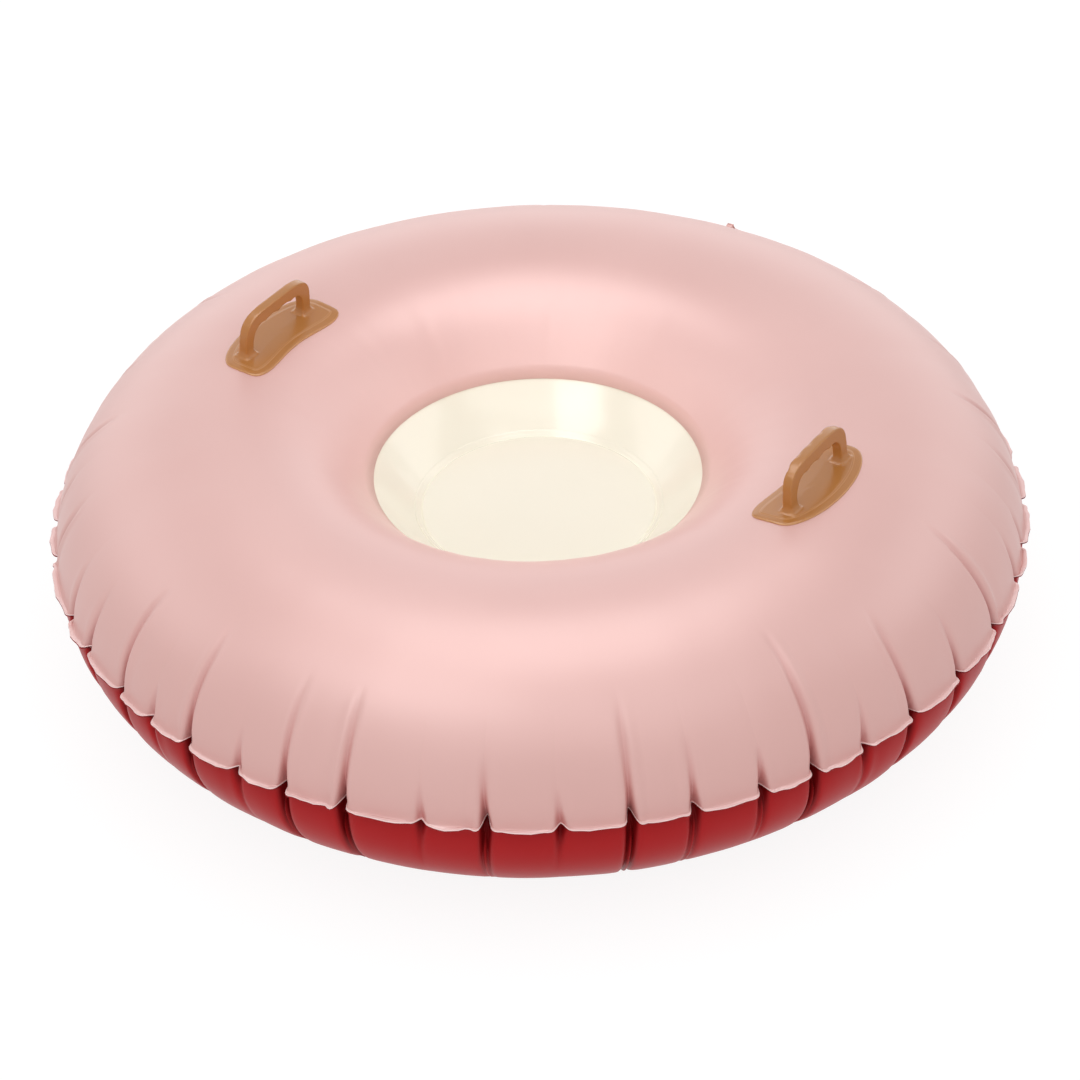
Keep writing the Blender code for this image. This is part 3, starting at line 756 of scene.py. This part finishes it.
# %% [markdown]
# # The red film
# The lower film mirrors the upper one at the rim, and is slack under the seat: from the flat
# band on which the tube rests it arches up to the seat's floor, under which it lies flat.

# %% The red film
FLOOR_RADIUS = 0.111
UNDER_FLANK_RINGS = 23
UNDER_CROWD = 1.6
RECESS_RINGS = 8
MIDDLE_SHARES = (0.6, 0.0)
UNDER_LEVEL = FLOOR_LEVEL - 2 * LAYER - FILM


def bottom_rings():
    start = flank_angle(RIM_LEVEL - GAP / 2 - FILM)
    rest = -math.acos(REST_HALF / OUTER_HALF_WIDTH)
    rings = rim_rings(start, rest, UNDER_FLANK_RINGS, UNDER_CROWD)
    down = Vector((0, -1))
    inner = RING_RADIUS - REST_HALF
    far = -math.pi / 2
    land = FLOOR_RADIUS + FILM
    for index in range(RECESS_RINGS + 1):
        turn = index / RECESS_RINGS * math.pi / 2
        radius = inner - (inner - land) * math.sin(turn)
        level = UNDER_LEVEL * (1 - math.cos(turn))
        rings.append(Ring(Vector((radius, level)), down, far))
    for share in MIDDLE_SHARES:
        rings.append(Ring(Vector((land * share, UNDER_LEVEL)), down, far))
    return rings


finish_piece(
    "red_film", shaped_film(bottom_rings()), red_vinyl, "tube",
    replaced=["bottom_skin"], thickness=FILM, smooth=75,
)

# %% [markdown]
# # The seat
# The cream wall runs from the throat seam down to the floor, a little hollow, with a lap
# under the pink film. The floor is a disc whose edge laps up on the wall. Both are plain
# turned films: what shows is the weld, a fine double line round the floor.

# %% The seat's wall and floor
TURN_STEPS = 160
CORNER = Vector((FLOOR_RADIUS, FLOOR_LEVEL - LAYER))
WALL_HOLLOW = 0.0015
WALL_RINGS = 24
WALL_FOOT = 0.006
WALL_LAP_SHARES = (0.985, 0.97, 0.955)
FLOOR_SHARES = (0, 0.2, 0.4, 0.6, 0.8, 0.92, 0.985)
FLOOR_LAP = 0.0075
FLOOR_LAP_POINTS = 12
WELD_LINE_RISE = 0.00010
LAP_START = 0.0004
LAP_END = -0.0002


def wall_points():
    """The wall's face, from under the floor up to the seam and on under the pink film."""
    run = inner_point(1) - inner_normal(1) * LAYER - CORNER
    side = Vector((-run.y, run.x)).normalized()
    points = [CORNER - Vector((WALL_FOOT, 0))]
    for index in range(WALL_RINGS + 1):
        share = index / WALL_RINGS
        points.append(CORNER + run * share - side * WALL_HOLLOW * math.sin(math.pi * share))
    for share in WALL_LAP_SHARES:
        points.append(inner_point(share) - inner_normal(share) * LAYER)
    return points


def floor_points():
    """The floor's face, from the middle out, with two fine weld lines at its rim."""
    points = [Vector((FLOOR_RADIUS * share, FLOOR_LEVEL)) for share in FLOOR_SHARES]
    run = (inner_point(1) - CORNER).normalized()
    side = Vector((-run.y, run.x))
    for index in range(FLOOR_LAP_POINTS + 1):
        share = index / FLOOR_LAP_POINTS
        rise = math.sin(math.tau * share) ** 2 * WELD_LINE_RISE
        rise += LAP_START + (LAP_END - LAP_START) * share
        points.append(CORNER + run * FLOOR_LAP * share + side * rise)
    return points


wall_bm = faced(spun(wall_points(), TURN_STEPS), lambda spot: Vector((-spot.x, -spot.y, 0)))
finish_piece(
    "seat_wall", wall_bm, cream_vinyl, "tube",
    replaced=["well_wall"], thickness=FILM, smooth=30,
)
floor_bm = faced(spun(floor_points(), TURN_STEPS), lambda spot: Vector((0, 0, 1)))
finish_piece(
    "seat_floor", floor_bm, cream_vinyl, "tube",
    replaced=["floor_panel"], thickness=FILM, smooth=30,
)

# %% [markdown]
# # Where a handle stands
# The handles are welded to the crown, a little inside its top line, and are turned by a few
# degrees from square. A frame at that place has x away from the well, y along the grip and z
# off the film. The film under the plate is found by casting rays on the pink mesh.

# %% Frame of a handle
HANDLE_RADIUS = 0.275
HANDLE_YAW = math.radians(-6)
HALVINGS = 40
RAY_HEIGHT = 0.05


def share_at(radius):
    """Share of the inner curve at which the film has a given radius."""
    low, high = 0.0, 1.0
    for _ in range(HALVINGS):
        share = (low + high) / 2
        if inner_point(share).x > radius:
            low = share
        else:
            high = share
    return low


def handle_frame(direction):
    share = share_at(HANDLE_RADIUS)
    place = frame_on(inner_point(share), inner_normal(share), direction)
    return place @ Matrix.Rotation(HANDLE_YAW, 4, "Z")


def film_height(place, x, y):
    """Height of the pink film under a point of a frame."""
    ray = place.to_3x3() @ Vector((0, 0, -1))
    distance = film_target.ray_cast(place @ Vector((x, y, RAY_HEIGHT)), ray)[3]
    return RAY_HEIGHT - distance


print("film under a handle, mm:", round(film_height(handle_frame(0), 0, 0) * 1000, 2))

# %% [markdown]
# # The handle's plate
# The plate is a kidney with round corners, hollow towards the well and bowed outwards. A spun
# disc has the right thickness from its middle to its rounded edge. Each of its points is then
# moved to the kidney and laid on the film.

# %% The plate of a handle
PLATE_HALF_LENGTH = 0.068
PLATE_INNER_REACH = 0.021
PLATE_INNER_HOLLOW = 0.0075
PLATE_OUTER_REACH = 0.034
PLATE_OUTER_BOW = 0.014
CORNER_POWER = 5
PLATE_STEPS = 180
PLATE_PROFILE = (
    (0, 1.8), (0.2, 1.8), (0.4, 1.8), (0.6, 1.8), (0.75, 1.8), (0.87, 1.8), (0.95, 1.75),
    (0.985, 1.5), (1.0, 0.9), (1.0, 0.2), (0.99, -0.4), (0.9, -0.4), (0.7, -0.4), (0.5, -0.4),
    (0.3, -0.4), (0, -0.4),
)


def rounded(angle, power):
    """Point of a unit square with round corners, in a direction from its middle."""
    across, along = math.cos(angle), math.sin(angle)
    radius = (abs(across) ** power + abs(along) ** power) ** (-1 / power)
    return across * radius, along * radius


def kidney(angle):
    """Point of the plate's outline."""
    across, along = rounded(angle, CORNER_POWER)
    inner = -PLATE_INNER_REACH - PLATE_INNER_HOLLOW * math.sin(math.pi / 2 * along) ** 2
    outer = PLATE_OUTER_REACH - PLATE_OUTER_BOW * along * along
    return inner + (outer - inner) * (across + 1) / 2, PLATE_HALF_LENGTH * along


def plate_mesh(place):
    """The plate, closed, in the handle's own frame."""
    bm = spun([(share, height * MILLIMETRE) for share, height in PLATE_PROFILE], PLATE_STEPS)
    middle = (PLATE_OUTER_REACH - PLATE_INNER_REACH) / 2
    for vert in bm.verts:
        share = math.hypot(vert.co.x, vert.co.y)
        x, y = kidney(math.atan2(vert.co.y, vert.co.x))
        x, y = middle + (x - middle) * share, y * share
        vert.co = Vector((x, y, film_height(place, x, y) + vert.co.z))
    bmesh.ops.recalc_face_normals(bm, faces=bm.faces)
    return bm


print("plate, mm:", round(2 * PLATE_HALF_LENGTH * 1000), "long")

# %% [markdown]
# # The handle's grip
# The grip is a strap on two legs. Its side view is a flat arch whose feet flare, with four
# scallops beneath for the fingers. The outline is made one face, extruded to the strap's
# width and bevelled along its long edges. One side of the strap is wavy too.

# %% The grip of a handle
GRIP_OFFSET = 0.006
GRIP_HALF_LENGTH = 0.050
GRIP_HEIGHT = 0.043
GRIP_BAR = 0.0120
GRIP_LEG = 0.0110
GRIP_WIDTH = 0.0092
GRIP_ROUNDING = 0.0022
GRIP_BASE = 0.0012
FOOT_FLARE = 0.0034
FOOT_HEIGHT = 0.0090
FLARE_POWER = 2.2
FOOT_LEVELS = (0, 0.0010, 0.0020, 0.0035, 0.0055, 0.0075)
ARCH_POWER = 4.4
ARCH_POINTS = 72
FINGERS = 4
FINGER_SCALLOP = 0.0022
SIDE_WAVE = 0.0014


def bevelled(bm, edges, rounding):
    bmesh.ops.bevel(
        bm, geom=edges, offset=rounding, offset_type="OFFSET", affect="EDGES", segments=3,
        profile=0.5, material=-1, clamp_overlap=True,
    )


def flare(height):
    """Spread of a foot at a height above the plate."""
    return FOOT_FLARE * max(0.0, 1 - height / FOOT_HEIGHT) ** FLARE_POWER


def finger_wave(share):
    """Wave that touches 0 between two fingers and 1 in the middle of each."""
    return abs(math.sin(math.pi * (share + 1) / 2 * FINGERS))


def arch_side(half_length, tall, scallop, way):
    """One line of the arch in y and z, from the foot at +y to the foot at -y."""
    points = [(half_length + way * flare(height), height) for height in FOOT_LEVELS]
    for index in range(ARCH_POINTS + 1):
        along, up = rounded(math.pi * index / ARCH_POINTS, ARCH_POWER)
        rise = tall * up - scallop * (1 - finger_wave(along)) * up
        if rise > FOOT_LEVELS[-1] + MILLIMETRE:
            spread = way * flare(rise) * math.copysign(1, along)
            points.append((half_length * along + spread, rise))
    return points + [(-y, height) for y, height in reversed(points[:len(FOOT_LEVELS)])]


def grip_mesh(wavy_side):
    """The grip, closed, in the handle's own frame."""
    tall = GRIP_HEIGHT - GRIP_BASE
    outer = arch_side(GRIP_HALF_LENGTH, tall, 0, 1)
    inner = arch_side(GRIP_HALF_LENGTH - GRIP_LEG, tall - GRIP_BAR, FINGER_SCALLOP, -1)
    bm = bmesh.new()
    side = GRIP_OFFSET - GRIP_WIDTH / 2
    corners = [(side, y, GRIP_BASE + z) for y, z in outer + inner[::-1]]
    face = bm.faces.new([bm.verts.new(corner) for corner in corners])
    swept = bmesh.ops.extrude_face_region(bm, geom=[face])
    moved = [item for item in swept["geom"] if isinstance(item, bmesh.types.BMVert)]
    bmesh.ops.translate(bm, verts=moved, vec=(GRIP_WIDTH, 0, 0))
    bmesh.ops.recalc_face_normals(bm, faces=bm.faces)
    rims = [edge for edge in bm.edges if abs(edge.verts[0].co.x - edge.verts[1].co.x) < GAP]
    bevelled(bm, rims, GRIP_ROUNDING)
    for vert in bm.verts:
        away = vert.co.x - GRIP_OFFSET
        height = vert.co.z - GRIP_BASE
        vert.co.x += math.copysign(flare(height), away)
        share = vert.co.y / (GRIP_HALF_LENGTH - GRIP_LEG)
        if away * wavy_side > 0 and abs(share) < 1 and height > tall / 2:
            vert.co.x += wavy_side * SIDE_WAVE * (2 * finger_wave(share) - 1)
    return bm


print("grip, mm:", [round(s * 1000, 1) for s in (GRIP_WIDTH, 2 * GRIP_HALF_LENGTH, GRIP_HEIGHT)])

# %% [markdown]
# # One moulding
# Plate and grip come out of one mould, so their joint is a soft fillet. Both closed meshes go
# into one object, a voxel remesh makes one skin of them, and a few rounds of smoothing soften
# it, with more of them at the feet. The distance from the plate's edge is then known
# everywhere: it raises the panel inside the weld, and is stored for the weld lines and the
# painted edge highlight in the material.

# %% The handles' skin
VOXEL = 0.0008
SMOOTH_SHARE = 0.5
SMOOTH_ROUNDS = 2
FOOT_ROUNDS = 14
FOOT_ZONE = 0.0065
PANEL_START = 0.0072
PANEL_END = 0.0086
PANEL_RISE = 0.0003
EDGE_POINTS = 720
EDGE_SPAN = 0.030


def joined(*meshes):
    """One bmesh of several."""
    whole = bmesh.new()
    for bm in meshes:
        mesh = mesh_of("part", bm)
        whole.from_mesh(mesh)
        bpy.data.meshes.remove(mesh)
    return whole


def moulded(bm, voxel):
    """One closed skin round everything in a bmesh."""
    mesh = mesh_of("raw", bm)
    raw = add_object("raw", mesh)
    remesh = raw.modifiers.new("skin", "REMESH")
    remesh.mode = "VOXEL"
    remesh.voxel_size = voxel
    skin = bmesh.new()
    skin.from_object(raw, bpy.context.evaluated_depsgraph_get())
    bpy.data.objects.remove(raw)
    bpy.data.meshes.remove(mesh)
    return skin


def smoothed(bm, verts, rounds):
    for _ in range(rounds):
        bmesh.ops.smooth_vert(bm, verts=verts, factor=SMOOTH_SHARE, use_axis_x=True,
                              use_axis_y=True, use_axis_z=True)


def kidney_tree():
    """Points of the plate's outline, for finding the nearest one."""
    tree = KDTree(EDGE_POINTS)
    for index in range(EDGE_POINTS):
        tree.insert((*kidney(math.tau * index / EDGE_POINTS), 0), index)
    tree.balance()
    return tree


def handle_mesh(place, wavy_side):
    """One handle as a single skin, in the object's frame."""
    bm = moulded(joined(plate_mesh(place), grip_mesh(wavy_side)), VOXEL)
    smoothed(bm, bm.verts, SMOOTH_ROUNDS)
    feet = []
    for vert in bm.verts:
        beside = abs(vert.co.x - GRIP_OFFSET) < GRIP_WIDTH
        at_leg = abs(abs(vert.co.y) - GRIP_HALF_LENGTH + GRIP_LEG / 2) < GRIP_WIDTH
        if beside and at_leg:
            over = vert.co.z - film_height(place, vert.co.x, vert.co.y)
            if GRIP_BASE < over < GRIP_BASE + FOOT_ZONE:
                feet.append(vert)
    smoothed(bm, feet, FOOT_ROUNDS)
    outline = kidney_tree()
    layer = bm.verts.layers.float.new("edge_distance")
    for vert in bm.verts:
        over = vert.co.z > GRIP_BASE + FOOT_HEIGHT
        distance = outline.find((vert.co.x, vert.co.y, 0))[2]
        vert[layer] = 1.0 if over else distance / EDGE_SPAN
        inside = (distance - PANEL_START) / (PANEL_END - PANEL_START)
        if vert.co.z > film_height(place, vert.co.x, vert.co.y) + GAP:
            vert.co.z += PANEL_RISE * clamped(inside)
    bmesh.ops.transform(bm, matrix=place, verts=bm.verts)
    return bm


print("outline points:", EDGE_POINTS)

# %% [markdown]
# # Camel vinyl
# The moulding is a satin caramel brown. A pair of fine pale lines runs inside the plate's
# edge, where the welding tool has pressed it, and the very edge carries a painted highlight.
# The grain is that of the mould.

# %% Camel material
WELD_LINES_AND_EDGE_HIGHLIGHT = (
    # The first line, at the very edge, is a painted highlight; the other two are the weld lines.
    (0.0, 0.0011, (0.66, 0.36, 0.16)),
    (0.0074, 0.0005, (0.56, 0.27, 0.11)),
    (0.0090, 0.0005, (0.53, 0.25, 0.10)),
)


def line_at(tree, distance, place, width):
    """Mask of a fine line at a distance from the edge."""
    away = worked_out(tree, "SUBTRACT", distance, place / EDGE_SPAN)
    size = worked_out(tree, "ABSOLUTE", away)
    return ranged(tree, size, (0, width / EDGE_SPAN), (1, 0))


def camel_material():
    material = film_material(
        "camel_vinyl", ((0.445, 0.180, 0.044), (0.475, 0.194, 0.052)), (0.22, 0.265),
        grain=500, bump=0.05, shine=0.38,
    )
    tree = material.node_tree
    base = tree.nodes["Principled BSDF"].inputs["Base Color"]
    colour = base.links[0].from_socket
    mark = stored(tree, "edge_distance")
    for place, width, tone in WELD_LINES_AND_EDGE_HIGHLIGHT:
        colour = mixed_colour(tree, line_at(tree, mark, place, width), colour, tone)
    tree.links.new(colour, base)
    return material


camel_vinyl = camel_material()
for side, direction, wavy_side in (("right", 0.0, -1), ("left", math.pi, 0)):
    finish_piece(
        side + "_grip_handle", handle_mesh(handle_frame(direction), wavy_side), camel_vinyl,
        "tube", replaced=[side + "_handle"], smooth=60,
    )

# %% [markdown]
# # The air valve
# On the far flank sits a plain push-in valve: a flange welded to the film, a collar and a
# stem with a bore, a stopper on a strap, and a check flap inside. Body and stopper are turned
# from finer outlines than the CAD's, with soft edges and the rings that the welding tool
# leaves. The flange's points are laid on the film like the plates'.

# %% The valve's body
VALVE_STEPS = 96
HINGE_REACH = 0.019
HINGE_HEIGHT = 0.0042
BODY_INSIDE = (
    (5.0, -22), (5.0, -3.2), (5.4, -1.5), (6.5, 2.9), (6.7, 3.0), (9.7, 3.0), (10.2, 2.85),
    (10.5, 2.5), (10.6, 1.9),
)
BODY_FLANGE = (
    (11.2, 1.6), (12.4, 1.42), (15.4, 1.40), (16.2, 1.32), (16.7, 1.08), (17.5, 1.08),
    (18.0, 1.30), (19.4, 1.30), (19.9, 1.08), (20.7, 1.08), (21.2, 1.25), (22.6, 1.15),
    (23.2, 0.85), (23.5, 0.40), (23.5, -0.20), (12.0, -0.30),
)
BODY_STEM = ((7.5, -1.2), (7.5, -21.6), (7.2, -22))
ROOT_HALF = (0.0026, 0.0032)
ROOT_LOW = -0.0022
ROOT_TOP = 0.0030
ROOT_ROUNDING = 0.0006


def scaled(profile):
    return [(radius * MILLIMETRE, height * MILLIMETRE) for radius, height in profile]


def bar(low, high, rounding):
    """Block between two corners, with soft edges."""
    bm = bmesh.new()
    bmesh.ops.create_cube(bm, size=1)
    bmesh.ops.scale(bm, vec=[b - a for a, b in zip(low, high)], verts=bm.verts)
    bmesh.ops.translate(bm, vec=[(a + b) / 2 for a, b in zip(low, high)], verts=bm.verts)
    bevelled(bm, bm.edges[:], rounding)
    return bm


def valve_body_mesh():
    inside, flange, stem = scaled(BODY_INSIDE), scaled(BODY_FLANGE), scaled(BODY_STEM)
    bm = spun(inside + flange + stem + inside[:1], VALVE_STEPS)
    for vert in bm.verts:
        radius = math.hypot(vert.co.x, vert.co.y)
        if radius > flange[0][0] - GAP:
            vert.co.z += film_height(valve_place, vert.co.x, vert.co.y)
    bmesh.ops.recalc_face_normals(bm, faces=bm.faces)
    across, along = ROOT_HALF
    root = bar((-HINGE_REACH - across, -along, ROOT_LOW), (-HINGE_REACH + across, along, ROOT_TOP),
               ROOT_ROUNDING)
    whole = joined(bm, root)
    bmesh.ops.transform(whole, matrix=valve_place, verts=whole.verts)
    return whole


valve_vinyl = film_material(
    "valve_vinyl", ((0.680, 0.385, 0.350), (0.705, 0.405, 0.370)), (0.29, 0.35), bump=0.03,
)
finish_piece(
    "air_valve_body", valve_body_mesh(), valve_vinyl, "tube",
    replaced=["valve_body"], smooth=40,
)

# %% [markdown]
# # The valve's stopper
# Cap, strap, pull tab and hollow plug are one soft moulding, which swings on the strap's
# root. The cap is turned, the strap and the tab are soft-edged bars, and the tab has three
# ribs for the fingers.

# %% The stopper
CAP_PROFILE = (
    (0, 5.15), (5.0, 5.15), (6.2, 5.0), (6.8, 4.85), (7.6, 4.85), (8.2, 5.0), (9.0, 5.0),
    (9.5, 4.75), (9.8, 4.3), (9.8, 3.8), (9.5, 3.4), (9.1, 3.3), (6.15, 3.3), (6.15, 3.0),
    (4.65, -2.7), (4.4, -3.0), (3.9, -3.0), (3.65, -2.7), (3.65, 4.0), (3.3, 4.2), (0, 4.2),
)
CAP_EDGE = 0.0098
STRAP_HALF = (0.0028, 0.0006)
STRAP_ROUNDING = 0.0004
TAB_REACH = 0.0142
TAB_HALF = 0.0035
TAB_ROUNDING = 0.0005
RIB_PLACES = (0.0108, 0.0121, 0.0134)
RIB_HALF = 0.00035
RIB_SHARE = 0.8
RIB_ROUNDING = 0.0002
BARREL_RADIUS = 0.0009
BARREL_STEPS = 24


def stopper_mesh():
    cap = spun(scaled(CAP_PROFILE), VALVE_STEPS)
    bmesh.ops.recalc_face_normals(cap, faces=cap.faces)
    wide, thick = STRAP_HALF
    low, high = HINGE_HEIGHT - thick, HINGE_HEIGHT + thick
    strap = bar((-HINGE_REACH, -wide, low), (-CAP_EDGE + thick, wide, high), STRAP_ROUNDING)
    tab = bar((CAP_EDGE - thick, -TAB_HALF, low), (TAB_REACH, TAB_HALF, high), TAB_ROUNDING)
    rib = TAB_HALF * RIB_SHARE
    ribs = [
        bar((at - RIB_HALF, -rib, high - thick / 2), (at + RIB_HALF, rib, high + RIB_HALF),
            RIB_ROUNDING)
        for at in RIB_PLACES
    ]
    barrel = bmesh.new()
    bmesh.ops.create_cone(
        barrel, cap_ends=True, segments=BARREL_STEPS, radius1=BARREL_RADIUS,
        radius2=BARREL_RADIUS, depth=2 * ROOT_HALF[1],
    )
    hinge = Matrix.Translation((-HINGE_REACH, 0, HINGE_HEIGHT))
    lying = hinge @ Matrix.Rotation(math.pi / 2, 4, "X")
    bmesh.ops.transform(barrel, matrix=lying, verts=barrel.verts)
    whole = joined(cap, strap, tab, barrel, *ribs)
    bmesh.ops.transform(whole, matrix=valve_place, verts=whole.verts)
    return whole


finish_piece(
    "air_valve_stopper", stopper_mesh(), valve_vinyl, "stopper",
    replaced=["valve_stopper"], smooth=40,
)

# %% [markdown]
# # The check flap
# The flap is a plain round leaf of film, as the CAD has it, so the CAD's own solid stays and
# only gets the moulding's material.

# %% The flap's material
flap = frame["nodes"]["valve_flap"]
flap.material_slots[0].material = valve_vinyl
print("flap keeps its solid:", flap.name)

# %% [markdown]
# # Light and floor
# The tube is lit like a product on a white table: a bright room, a large scrim overhead and a
# soft fill from the front give an even light. Two windows, one over the seat and one at the
# front left, show only in the gloss, where the photograph has its highlights. So do a bright
# wall behind and three bright ceilings at the sides and in front. The floor is white paper
# and keeps the shadow. From below, the camera looks through it.

# %% Lamps
def in_view(right, away, up):
    """Place given as the camera sees it: to the right, away from the camera, and up."""
    side = Vector((math.cos(CAMERA_AZIMUTH), math.sin(CAMERA_AZIMUTH), 0))
    far = Vector((-side.y, side.x, 0))
    return side * right + far * away + Vector((0, 0, up))


def add_soft_box(name, place, size, brightness, lean=0.0, gloss=True, diffuse=True):
    """A rectangle of light, square to the camera, that looks down or leans to the tube."""
    data = bpy.data.lights.new(name, "AREA")
    data.shape = "RECTANGLE"
    data.size, data.size_y = size
    data.energy = brightness * math.pi * data.size * data.size_y
    lamp = add_object(name, data)
    facing = Matrix.Rotation(CAMERA_AZIMUTH, 4, "Z") @ Matrix.Rotation(lean, 4, "X")
    lamp.matrix_world = Matrix.Translation(place) @ facing
    lamp.visible_camera = False
    lamp.visible_glossy = gloss
    lamp.visible_diffuse = diffuse


add_soft_box("scrim", in_view(0, 0, 2.4), (2.6, 2.6), 0.35)
add_soft_box("front_fill", in_view(-0.9, -2.5, 1.3), (3.0, 1.6), 0.50,
             lean=math.radians(65), gloss=False)
add_soft_box("window_over", in_view(0.0, 0.28, 1.48), (1.04, 1.10), 4.6, diffuse=False)
add_soft_box("window_left", in_view(-0.58, -0.50, 1.48), (0.66, 0.70), 4.0, diffuse=False)
add_soft_box("bright_wall", in_view(0, 3.6, 1.3), (9.0, 2.6), 1.0,
             lean=math.radians(-90), diffuse=False)
for name, right in (("bright_left", -2.3), ("bright_right", 2.3)):
    add_soft_box(name, in_view(right, 0.7, 1.48), (1.8, 2.0), 1.5, diffuse=False)
add_soft_box("front_ceiling", in_view(0, -1.2, 1.7), (2.4, 1.3), 1.2, diffuse=False)
print("lamps", len(bpy.data.lights))

# %% The world
ROOM_LIGHT = 0.80
WHITE = (1, 1, 1)


def seen_or_mirrored(tree):
    """Mask that is 1 for rays from the camera, from gloss and through glass."""
    rays = add_node(tree, "ShaderNodeLightPath").outputs
    gloss = worked_out(tree, "MAXIMUM", rays["Is Camera Ray"], rays["Is Glossy Ray"])
    return worked_out(tree, "MAXIMUM", gloss, rays["Is Transmission Ray"])


def mixed_shader(tree, *values):
    """Blend of two shaders by a mask, which comes first."""
    return add_node(tree, "ShaderNodeMixShader", dict(enumerate(values))).outputs["Shader"]


world = bpy.data.worlds.new("world")
bpy.context.scene.world = world
world.use_nodes = True
tree = world.node_tree
room = tree.nodes["Background"]
fed(room, {"Color": WHITE, "Strength": ROOM_LIGHT})
seen = add_node(tree, "ShaderNodeBackground", {"Color": WHITE, "Strength": 1})
blend = mixed_shader(tree, seen_or_mirrored(tree), room.outputs[0], seen.outputs[0])
fed(tree.nodes["World Output"], {"Surface": blend})
print("world:", world.name)

# %% The floor
FLOOR_GLOW = 0.80
FLOOR_WHITE = 1.10
FLOOR_HALF = 30
PAPER_TONE = (0.9, 0.9, 0.9)
PAPER_ROUGHNESS = 0.9

ground = bmesh.new()
bmesh.ops.create_grid(ground, x_segments=1, y_segments=1, size=FLOOR_HALF)
floor = add_object("floor", mesh_of("floor", ground))
paper = bpy.data.materials.new("paper")
paper.use_nodes = True
tree = paper.node_tree
matt = tree.nodes["Principled BSDF"]
fed(matt, {"Base Color": PAPER_TONE, "Roughness": PAPER_ROUGHNESS, "Specular IOR Level": 0})
glow = add_node(tree, "ShaderNodeEmission", {"Color": WHITE, "Strength": FLOOR_WHITE})
share = ranged(tree, seen_or_mirrored(tree), (0, 1), (0, FLOOR_GLOW))
blend = mixed_shader(tree, share, matt.outputs[0], glow.outputs[0])
under = add_node(tree, "ShaderNodeNewGeometry").outputs["Backfacing"]
viewed = add_node(tree, "ShaderNodeLightPath").outputs["Is Camera Ray"]
from_below = worked_out(tree, "MULTIPLY", under, viewed)
clear = add_node(tree, "ShaderNodeBsdfTransparent").outputs["BSDF"]
whole = mixed_shader(tree, from_below, blend, clear)
fed(tree.nodes["Material Output"], {"Surface": whole})
floor.data.materials.append(paper)

bpy.context.scene.view_settings.view_transform = "Standard"
print("floor:", floor.name)
